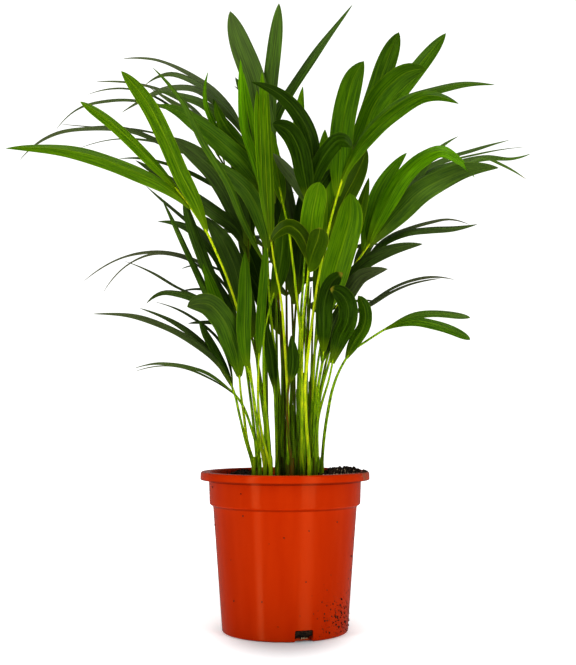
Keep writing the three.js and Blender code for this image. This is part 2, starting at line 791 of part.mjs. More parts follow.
class Leaf {
  constructor(stalk, row, facing) {
    const [root, width, turn, narrowing, ...places] = row;
    this.stalk = stalk;
    this.rootAt = stalk.course.atHeight(root) - BLADE.sunk / stalk.course.length;
    this.width = width * BLADE.fullness;
    this.turns = Array.isArray(turn) ? turn : [turn, turn];
    this.narrowing = narrowing;
    this.facing = facing;
    this.course = new Course([stalk.course.at(this.rootAt), ...places]);
    this.fixed = 1;
    const tip = places.at(-1);
    this.hand = !facing && tip[0] > this.course.points[0][0] ? -1 : 1;
  }

  // The half width at a place along the blade.
  half(s) {
    const { broadest } = BLADE;
    const swell = Math.sin((Math.PI / 2) * Math.min(s / broadest, 1));
    const fade = 1 - Math.max((s - broadest) / (1 - broadest), 0) ** this.narrowing;
    const full = (this.width / 2) * Math.max(fade, 0) ** 0.85;
    return full * (BLADE.root + (1 - BLADE.root) * swell);
  }

  // The blade's middle, its sideways direction and its face's direction at a place along it.
  frame(s) {
    const middle = placed(this.course.at(s));
    const step = 0.02;
    const ahead = placed(this.course.at(Math.min(s + step, 1)));
    const behind = placed(this.course.at(Math.max(s - step, 0)));
    const along = ahead.sub(behind).normalize();
    const toward = this.facing
      ? this.facing.clone()
      : new THREE.Vector3(VIEW.aside, -VIEW.distance, VIEW.height).sub(middle);
    const face = toward.addScaledVector(along, -toward.dot(along)).normalize();
    const side = along.clone().cross(face).multiplyScalar(this.hand);
    const turn = THREE.MathUtils.degToRad(THREE.MathUtils.lerp(...this.turns, s));
    const turned = face.clone().multiplyScalar(Math.cos(turn)).addScaledVector(side, Math.sin(turn));
    side.multiplyScalar(Math.cos(turn)).addScaledVector(face, -Math.sin(turn));
    return { middle, side, face: turned };
  }
}

function growPlants() {
  const arching = ARCHING_PLANTS.map(({ fronds, ...plant }) => {
    const laid = fronds.map((numbers) => archingFrond(plant.base, numbers));
    return { ...plant, colour: DEEP, fronds: laid };
  });
  return [...PLANTS, ...arching].map(({ name, colour, base, fronds }) => {
    const stalks = fronds.map((frond) => new Stalk(base, frond));
    const rows = fronds.flatMap((frond, i) => frond.leaves.map((row) => [stalks[i], row, frond.facing]));
    const leaves = rows.map(([stalk, row, facing]) => new Leaf(stalk, row, facing));
    return { name, colour, base, stalks, leaves };
  });
}

// ---------------------------------------------------------------- bending leaves clear

const CLEAR = { across: 8, depth: 5.5, spacing: 8, rounds: 90, rate: 0.5, nearRoot: 26 };

// Places spread over a stalk or a leaf, each with its place on the picture, how far it stands
// behind the middle line, and which of the course's points carry it.
function probesOf(piece, plant) {
  const { course } = piece;
  const count = Math.max(2, Math.round(course.length / CLEAR.spacing));
  const probes = [];
  for (let i = 0; i <= count; i++) {
    const s = i / count;
    const [k, f] = course.span(s);
    const at = course.at(s);
    const fromRoot = s * course.length;
    const common = { piece, plant, s, k, f, fromRoot };
    probes.push({ ...common, across: at[0], up: at[1], behind: 0 });
    if (!piece.half || piece.half(s) < 2) continue;
    const { side } = piece.frame(s);
    for (const edge of [-1, 1]) {
      const reach = edge * piece.half(s) * 0.85;
      probes.push({
        ...common,
        across: at[0] + side.x * reach,
        up: at[1] + side.z * reach,
        behind: side.y * reach,
      });
    }
  }
  return probes;
}

// Two places may touch only near a root that their leaves share.
function mayTouch(a, b) {
  if (a.plant !== b.plant) return false;
  const atRoot = Math.min(a.fromRoot, b.fromRoot) < CLEAR.nearRoot;
  return a.piece === b.piece || atRoot || !a.piece.half || !b.piece.half;
}

function closePairs(probes) {
  const cells = new Map();
  const cellOf = (value) => Math.floor(value / CLEAR.across);
  const pairs = [];
  for (const probe of probes) {
    const [column, row] = [cellOf(probe.across), cellOf(probe.up)];
    for (let i = column - 1; i <= column + 1; i++) {
      for (let j = row - 1; j <= row + 1; j++) {
        for (const other of cells.get(i + "," + j) ?? []) {
          const apart = Math.hypot(probe.across - other.across, probe.up - other.up);
          if (apart < CLEAR.across && !mayTouch(probe, other)) {
            pairs.push([other, probe, CLEAR.depth * Math.sqrt(1 - (apart / CLEAR.across) ** 2)]);
          }
        }
      }
    }
    const key = column + "," + row;
    cells.set(key, [...(cells.get(key) ?? []), probe]);
  }
  return pairs;
}

// Leaves are moved in depth only, so the front layout stays as it is.
function bendClear(plants) {
  const pieces = plants.flatMap(({ stalks, leaves }) => [...stalks, ...leaves]);
  const probes = plants.flatMap((plant) =>
    [...plant.stalks, ...plant.leaves].flatMap((piece) => probesOf(piece, plant)));
  const pairs = closePairs(probes);
  for (let round = 0; round < CLEAR.rounds; round++) {
    for (const probe of probes) probe.depth = probe.piece.course.at(probe.s)[2] + probe.behind;
    for (const piece of pieces) piece.pushes = piece.course.points.map(() => [0, 0]);
    const push = ({ piece, k, f }, amount) => {
      for (const [point, share] of [[k, 1 - f], [k + 1, f]]) {
        if (point < piece.fixed) continue;
        piece.pushes[point][0] += share * amount;
        piece.pushes[point][1] += share;
      }
    };
    for (const [a, b, gap] of pairs) {
      const lap = gap - Math.abs(a.depth - b.depth);
      if (lap <= 0) continue;
      const sign = a.depth < b.depth ? -1 : 1;
      push(a, (sign * lap) / 2);
      push(b, (-sign * lap) / 2);
    }
    for (const { course, pushes, fixed } of pieces) {
      for (let i = fixed; i < pushes.length; i++) {
        const [sum, weight] = pushes[i];
        if (weight > 0) course.points[i][2] += (CLEAR.rate * 2 * sum) / Math.max(weight, 1);
      }
    }
    for (const { leaves } of plants) {
      for (const leaf of leaves) leaf.course.points[0] = leaf.stalk.course.at(leaf.rootAt);
    }
  }
}

// ---------------------------------------------------------------- solids of the plants

function bladeSolid(leaf) {
  const rings = STATIONS.map((s, i) => {
    const { middle, side, face } = leaf.frame(s);
    if (i === 0 || i === STATIONS.length - 1) return [middle];
    const half = leaf.half(s);
    const sag = -2 * half * BLADE.fold;
    const edge = (hand) => middle.clone().addScaledVector(side, hand * half).addScaledVector(face, sag);
    const thick = (hand) => middle.clone().addScaledVector(face, (hand * BLADE.thickness) / 2);
    return [edge(-1), thick(1), edge(1), thick(-1)];
  });
  return outward(rings, true);
}

// A left-handed frame turns a skin inside out, so its rings are run the other way.
function outward(rings, overAndBack = false) {
  const solid = solidOf(loft(rings, overAndBack));
  if (solid.volume() > 0) return solid;
  const turned = rings.map((ring) => [...ring.slice(0, 1), ...ring.slice(1).reverse()]);
  return solidOf(loft(turned, overAndBack));
}

function tubeRings(middles, radii, sides) {
  return middles.map((middle, i) => {
    const ahead = middles[Math.min(i + 1, middles.length - 1)];
    const behind = middles[Math.max(i - 1, 0)];
    const along = ahead.clone().sub(behind).normalize();
    const across = new THREE.Vector3(1, 0, 0).addScaledVector(along, -along.x).normalize();
    const back = along.clone().cross(across);
    return Array.from({ length: sides }, (_, k) => {
      const turn = (2 * Math.PI * k) / sides;
      const point = middle.clone().addScaledVector(across, radii[i] * Math.cos(turn));
      return point.addScaledVector(back, radii[i] * Math.sin(turn));
    });
  });
}

function tubeSolid(middles, radii, sides) {
  return outward(tubeRings(middles, radii, sides));
}

// A stalk has a ring of corners where it leaves the compost and at each leaf's root, and others
// where those are far apart.
function stalkSolid(stalk, roots) {
  const steps = Math.ceil(stalk.course.length / STALK.step);
  const even = Array.from({ length: steps + 1 }, (_, i) => i / steps);
  const apart = STALK.nearest / stalk.course.length;
  const shares = [0, stalk.course.knots[stalk.fixed - 1] / stalk.course.length];
  for (const s of [...roots].sort((a, b) => a - b)) {
    const last = shares.at(-1);
    shares.push(...even.filter((e) => e > last + apart && e < s - apart));
    if (s > shares.at(-1) + apart) shares.push(s);
  }
  shares.push(1);
  const middles = shares.map((s) => placed(stalk.course.at(s)));
  return tubeSolid(middles, shares.map((s) => stalk.radius(s)), STALK.sides);
}

// The sheath is the short thick foot that all stalks of one plant rise from.
function sheathSolid([x, y]) {
  const heights = [COMPOST.level - SHEATH.below, COMPOST.level + 12, COMPOST.level + SHEATH.above];
  const middles = heights.map((z) => new THREE.Vector3(x, y, z));
  return tubeSolid(middles, [SHEATH.radius, SHEATH.radius, SHEATH.top], SHEATH.sides);
}

// Small pockets shut in between the roots of leaves are filled.
function plantSolid({ name, base, stalks, leaves }) {
  const rootsOn = (stalk) => leaves.filter((leaf) => leaf.stalk === stalk).map((leaf) => leaf.rootAt);
  const parts = [...stalks.map((stalk) => stalkSolid(stalk, rootsOn(stalk))), ...leaves.map(bladeSolid)];
  const whole = parts.reduce((sum, part) => sum.add(part), sheathSolid(base));
  const bodies = whole.decompose().filter((body) => body.volume() > 0);
  if (bodies.length !== 1) throw new Error(name + " is in " + bodies.length + " pieces");
  return bodies[0];
}

// ---------------------------------------------------------------- pot and compost

const innerNeck = POT.neckRadius - POT.wall;
const innerShoulder = POT.shoulderRadius - POT.wall;
const innerBase = POT.baseRadius - POT.wall;
const floorTop = POT.recess + POT.floor;
const rimTop = POT.height;
const rimFoot = POT.height - POT.rimBand;

// Outer and inner faces of the wall, from the middle of the underside round to the floor inside.
const POT_PROFILE = [
  [0, 0], [POT.bossRadius, 0], [POT.bossRadius + 1.2, POT.recess],
  [POT.baseRadius - POT.footRing - 1.2, POT.recess], [POT.baseRadius - POT.footRing, 0],
  [POT.baseRadius - 1.8, 0], [POT.baseRadius - 0.5, 0.6], [POT.baseRadius, 2],
  [POT.shoulderRadius, POT.neckFoot - 4], [POT.shoulderRadius + 0.9, POT.neckFoot - 2.2],
  [POT.neckRadius - 1.6, POT.neckFoot - 0.9], [POT.neckRadius - 0.9, POT.neckFoot + 0.6],
  [POT.neckRadius, rimFoot + 3.2], [POT.rimRadius - 1.6, rimFoot + 3.2], [POT.rimRadius - 1.4, rimFoot],
  [POT.rimRadius - 0.2, rimFoot], [POT.rimRadius, rimFoot + 1.2], [POT.rimRadius - 0.2, rimTop - 1.9],
  [POT.rimRadius - 0.8, rimTop - 0.6], [POT.rimRadius - 2, rimTop], [POT.neckRadius + 1, rimTop],
  [innerNeck + 0.2, rimTop - 0.9], [innerNeck, rimTop - 2.4],
  [innerNeck - 0.9, POT.neckFoot + 0.8], [innerShoulder + 0.9, POT.neckFoot - 2.4],
  [innerShoulder, POT.neckFoot - 4.2], [innerBase + 0.2, floorTop + 2], [innerBase - 1.6, floorTop],
  [0, floorTop],
];

function lathed(profile, sides) {
  const points = profile.map(([r, z]) => new THREE.Vector2(r, z));
  return solidOf(new THREE.LatheGeometry(points, sides).rotateX(Math.PI / 2));
}

function potSolid() {
  let pot = lathed([...POT_PROFILE].reverse(), POT.sides);
  if (pot.volume() < 0) pot = lathed(POT_PROFILE, POT.sides);
  for (let i = 0; i < DRAIN.count; i++) {
    const slot = new THREE.BoxGeometry(DRAIN.depth, DRAIN.width, 2 * DRAIN.height);
    slot.translate(POT.baseRadius, 0, 0);
    slot.rotateZ(THREE.MathUtils.degToRad(DRAIN.firstAzimuth + (360 * i) / DRAIN.count));
    pot = pot.subtract(solidOf(slot));
  }
  return pot;
}

// The height of the compost at a place: a level bed with a heap on one side and small lumps.
function compostHeight(x, y) {
  const { level, mound, lump } = COMPOST;
  const heap = mound.height * Math.exp(-(((x - mound.x) ** 2 + (y - mound.y) ** 2) / mound.spread ** 2));
  const lumps = Math.sin(x * 0.31 + 1.3 * Math.sin(y * 0.23)) * Math.cos(y * 0.37 + Math.sin(x * 0.19));
  return level + heap + lump * lumps;
}

function compostSolid(plants) {
  const { gap, rings, sides, level } = COMPOST;
  const edge = innerNeck - 0.4 - gap;
  const profile = [
    [0, floorTop + gap], [innerBase - 2.4, floorTop + gap], [innerBase - gap, floorTop + 3],
    [innerShoulder - gap - 0.1, POT.neckFoot - 4.6], [innerShoulder + 0.5 - gap, POT.neckFoot - 2.4],
    [innerNeck - 1 - gap, POT.neckFoot + 0.8], [edge, level],
  ];
  for (let ring = rings - 1; ring >= 0; ring--) profile.push([(edge * ring) / rings, level]);
  const geometry = new THREE.LatheGeometry(profile.map(([r, z]) => new THREE.Vector2(r, z)), sides);
  geometry.rotateX(Math.PI / 2);
  const place = geometry.attributes.position;
  for (let i = 0; i < place.count; i++) {
    if (Math.abs(place.getZ(i) - level) < 0.01) {
      place.setZ(i, compostHeight(place.getX(i), place.getY(i)));
    }
  }
  let compost = solidOf(geometry);
  for (const { base } of plants) {
    const radius = SHEATH.radius + SHEATH.holeGap;
    const heights = [level - SHEATH.below - SHEATH.holeGap, level + 30];
    const middles = heights.map((z) => new THREE.Vector3(base[0], base[1], z));
    compost = compost.subtract(tubeSolid(middles, [radius, radius], SHEATH.sides));
  }
  return compost;
}

// ---------------------------------------------------------------- the whole object

function finish(colour, roughness) {
  return new THREE.MeshStandardMaterial({ color: colour, roughness, metalness: 0 });
}

function part(name, solid, material) {
  const mesh = new THREE.Mesh(geometryOf(solid), material);
  mesh.name = name;
  return mesh;
}

const plants = growPlants();
bendClear(plants);

const pottedPalm = new THREE.Group();
pottedPalm.add(part("pot", potSolid(), finish("#c53003", 0.42)));
pottedPalm.add(part("compost", compostSolid(plants), finish("#241a12", 0.95)));
for (const plant of plants) {
  pottedPalm.add(part(plant.name, plantSolid(plant), finish(plant.colour, 0.45)));
}

export default pottedPalm;
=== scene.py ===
"""A clump of young areca palms in a moulded nursery pot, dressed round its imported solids.

The leaves are laid out as they look from the front, on a picture plane through the pot's axis,
each with its own depth, as in the part's source. Lengths are millimetres until a mesh is made.
"""

import logging
import math
import random
import zlib
from dataclasses import dataclass
from enum import Enum
from typing import NamedTuple

import bmesh
import bpy
import numpy as np
from mathutils import Euler, Matrix, Vector, noise


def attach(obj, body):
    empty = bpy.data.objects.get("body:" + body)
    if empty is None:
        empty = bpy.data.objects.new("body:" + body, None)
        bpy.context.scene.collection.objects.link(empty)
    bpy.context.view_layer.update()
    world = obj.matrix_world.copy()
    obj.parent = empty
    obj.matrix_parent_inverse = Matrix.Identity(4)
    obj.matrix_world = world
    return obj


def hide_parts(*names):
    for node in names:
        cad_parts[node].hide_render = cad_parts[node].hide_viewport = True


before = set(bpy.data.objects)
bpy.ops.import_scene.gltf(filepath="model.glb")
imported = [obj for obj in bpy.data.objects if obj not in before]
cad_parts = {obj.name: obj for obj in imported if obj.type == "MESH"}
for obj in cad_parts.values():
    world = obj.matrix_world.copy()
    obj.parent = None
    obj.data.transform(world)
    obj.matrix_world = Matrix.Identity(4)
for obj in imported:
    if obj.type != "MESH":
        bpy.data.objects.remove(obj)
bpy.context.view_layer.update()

LOG = logging.getLogger("potted_palm")
BODY = "root"
UP = np.array((0.0, 0.0, 1.0))
# A millimetre in metres, and the height in millimetres that the pot is filled to.
MM = 0.001
COMPOST_LEVEL = 147.0

Material = bpy.types.Material
Object = bpy.types.Object
Triple = tuple[float, float, float]
Pair = tuple[float, float]
Stubs = tuple[tuple[float, float, float, float], ...]


def triples(numbers: tuple[float, ...]) -> list[np.ndarray]:
    """Splits numbers into places of three each."""
    return list(np.reshape(numbers, (-1, 3)))


def unit(vector: np.ndarray) -> np.ndarray:
    """Returns a vector of length 1 along another."""
    return vector / np.linalg.norm(vector)


# ---------- the front layout


@dataclass(frozen=True)
class Viewpoint:
    """The place that the plant is looked at from, which the layout and the camera share."""

    distance: float = 1196.0
    focal: float = 1190.0
    height: float = 219.5
    aside: float = 3.0
    tilt: float = math.radians(3.65)
    middle: float = 296.5
    frame_height: float = 665.0

    def placed(self, place: np.ndarray) -> np.ndarray:
        """Finds the point that a place on the layout stands for.

        Args:
            place: across, up and depth on the layout.

        Returns:
            The point in the object's own frame.
        """
        x = place[0] - self.aside
        y = place[1] - self.middle
        forward = self.focal * math.cos(self.tilt) - y * math.sin(self.tilt)
        rise = self.focal * math.sin(self.tilt) + y * math.cos(self.tilt)
        reach = (self.distance + place[2]) / forward
        return np.array((self.aside + x * reach, place[2], self.height + rise * reach))

    def seen(self, point: np.ndarray) -> np.ndarray:
        """Finds the place on the layout of a point, the inverse of placed.

        Args:
            point: a point in the object's own frame.

        Returns:
            Across, up and depth on the layout.
        """
        away = self.distance + point[1]
        above = point[2] - self.height
        forward = away * math.cos(self.tilt) + above * math.sin(self.tilt)
        rise = above * math.cos(self.tilt) - away * math.sin(self.tilt)
        scale = self.focal / forward
        across = self.aside + (point[0] - self.aside) * scale
        return np.array((across, self.middle + rise * scale, point[1]))

    def eye(self) -> np.ndarray:
        """Returns the place of the viewer's eye."""
        return np.array((self.aside, -self.distance, self.height))


VIEW = Viewpoint()


class Course:
    """A smooth course through given places, from 0 at its foot to 1 at its tip."""

    def __init__(self, places: list[np.ndarray]) -> None:
        """Keeps the places, and the spacing that they had when laid out.

        Args:
            places: across, up and depth of each place, from the foot to the tip.
        """
        self.places = np.array(places, dtype=float)
        steps = np.linalg.norm(np.diff(self.places, axis=0), axis=1)
        self.knots = np.concatenate(([0.0], np.cumsum(steps)))
        self.length = float(self.knots[-1])
        self.slopes = self._slope_shares()

    def _slope_shares(self) -> np.ndarray:
        """Returns how much of each place goes into the slope at each place."""
        count = len(self.places)
        gaps = np.diff(self.knots)
        steps = np.zeros((count - 1, count))
        for i in range(count - 1):
            steps[i, i], steps[i, i + 1] = -1 / gaps[i], 1 / gaps[i]
        slopes = np.zeros((count, count))
        for i in range(1, count - 1):
            before, after = gaps[i - 1], gaps[i]
            slopes[i] = (steps[i - 1] * after + steps[i] * before) / (before + after)
        slopes[0] = 2 * steps[0] - slopes[1]
        slopes[-1] = 2 * steps[-1] - slopes[-2]
        return slopes

    def span(self, s: float) -> tuple[int, float]:
        """Returns the span that holds a place along the course, and how far along it that is."""
        at = min(max(s, 0.0), 1.0) * self.length
        k = 0
        while k < len(self.knots) - 2 and at > self.knots[k + 1]:
            k += 1
        return k, float((at - self.knots[k]) / (self.knots[k + 1] - self.knots[k]))

    def shares(self, s: float) -> np.ndarray:
        """Returns how much of each given place goes into the place at s."""
        k, f = self.span(s)
        gap = self.knots[k + 1] - self.knots[k]
        ease = f * f * (3 - 2 * f)
        bend = gap * f * (1 - f)
        mix = bend * (self.slopes[k] * (1 - f) - self.slopes[k + 1] * f)
        mix[k] += 1 - ease
        mix[k + 1] += ease
        return mix

    def at(self, s: float) -> np.ndarray:
        """Returns the place at s, from 0 at the foot to 1 at the tip."""
        return self.shares(s) @ self.places

    def at_height(self, up: float) -> float:
        """Returns the first s at which the course reaches a height on the layout."""
        steps = 200
        for i in range(steps):
            if self.at(i / steps)[1] >= up:
                return i / steps
        return 1.0


# ---------- the plants


class Tone(Enum):
    """The age of a leaf, which sets its green, and the record's slot for it. The deep green is
    partly painted shade: it is given mostly to the plants in the dark core and at the back.
    """

    YOUNG = "palm_leaf_young"
    GROWN = "palm_leaf_grown"
    DEEP = "palm_leaf_deep"


class Taper(Enum):
    """How fast a blade narrows from its widest place to its tip."""

    SLIM = 2.2
    MEDIUM = 3.2
    BLUNT = 6.5


YOUNG, GROWN, DEEP = Tone
SLIM, MEDIUM, BLUNT = Taper


@dataclass(frozen=True)
class Blade:
    """One leaf: where it leaves the stalk, its width, turn and taper, its look and its places.

    The look says how bright the leaf is at its root and at its tip, from -2 (old, in shade) to 5
    (new), and how much grey is painted on it. The brightness is partly age and partly painted light
    and shade: a leaf in shade is set darker and a lit one brighter. The grey is partly wax bloom
    and partly painted sheen. Each place has three numbers: across, up and depth.
    Dry is the share of its length that has dried, at the tip. Chance fills in what is None.
    """

    root: float
    width: float
    turn: float | Pair
    taper: Taper
    look: Triple | None
    places: tuple[float, ...]
    dry: float | None = None


@dataclass(frozen=True)
class Frond:
    """A stalk and the leaves on it, with the way they face if that isn't to the front."""

    stalk: tuple[float, ...]
    blades: tuple[Blade, ...]
    facing: Triple | None = None


@dataclass(frozen=True)
class Palm:
    """One plant: its node's name, the age of its leaves, its foot, its fronds and its old stubs.

    Its stalks ripen from yellow (0) over green (0.5) to brown (1): how far they have at the foot
    and at the top is given. Each stub of an old stalk says how far to the right of the plant it
    stands, how far it leans that way, how high it is over the compost and how ripe it is.
    """

    name: str
    tone: Tone
    base: Pair
    ripeness: Pair
    fronds: tuple[Frond, ...]
    stubs: Stubs = ()


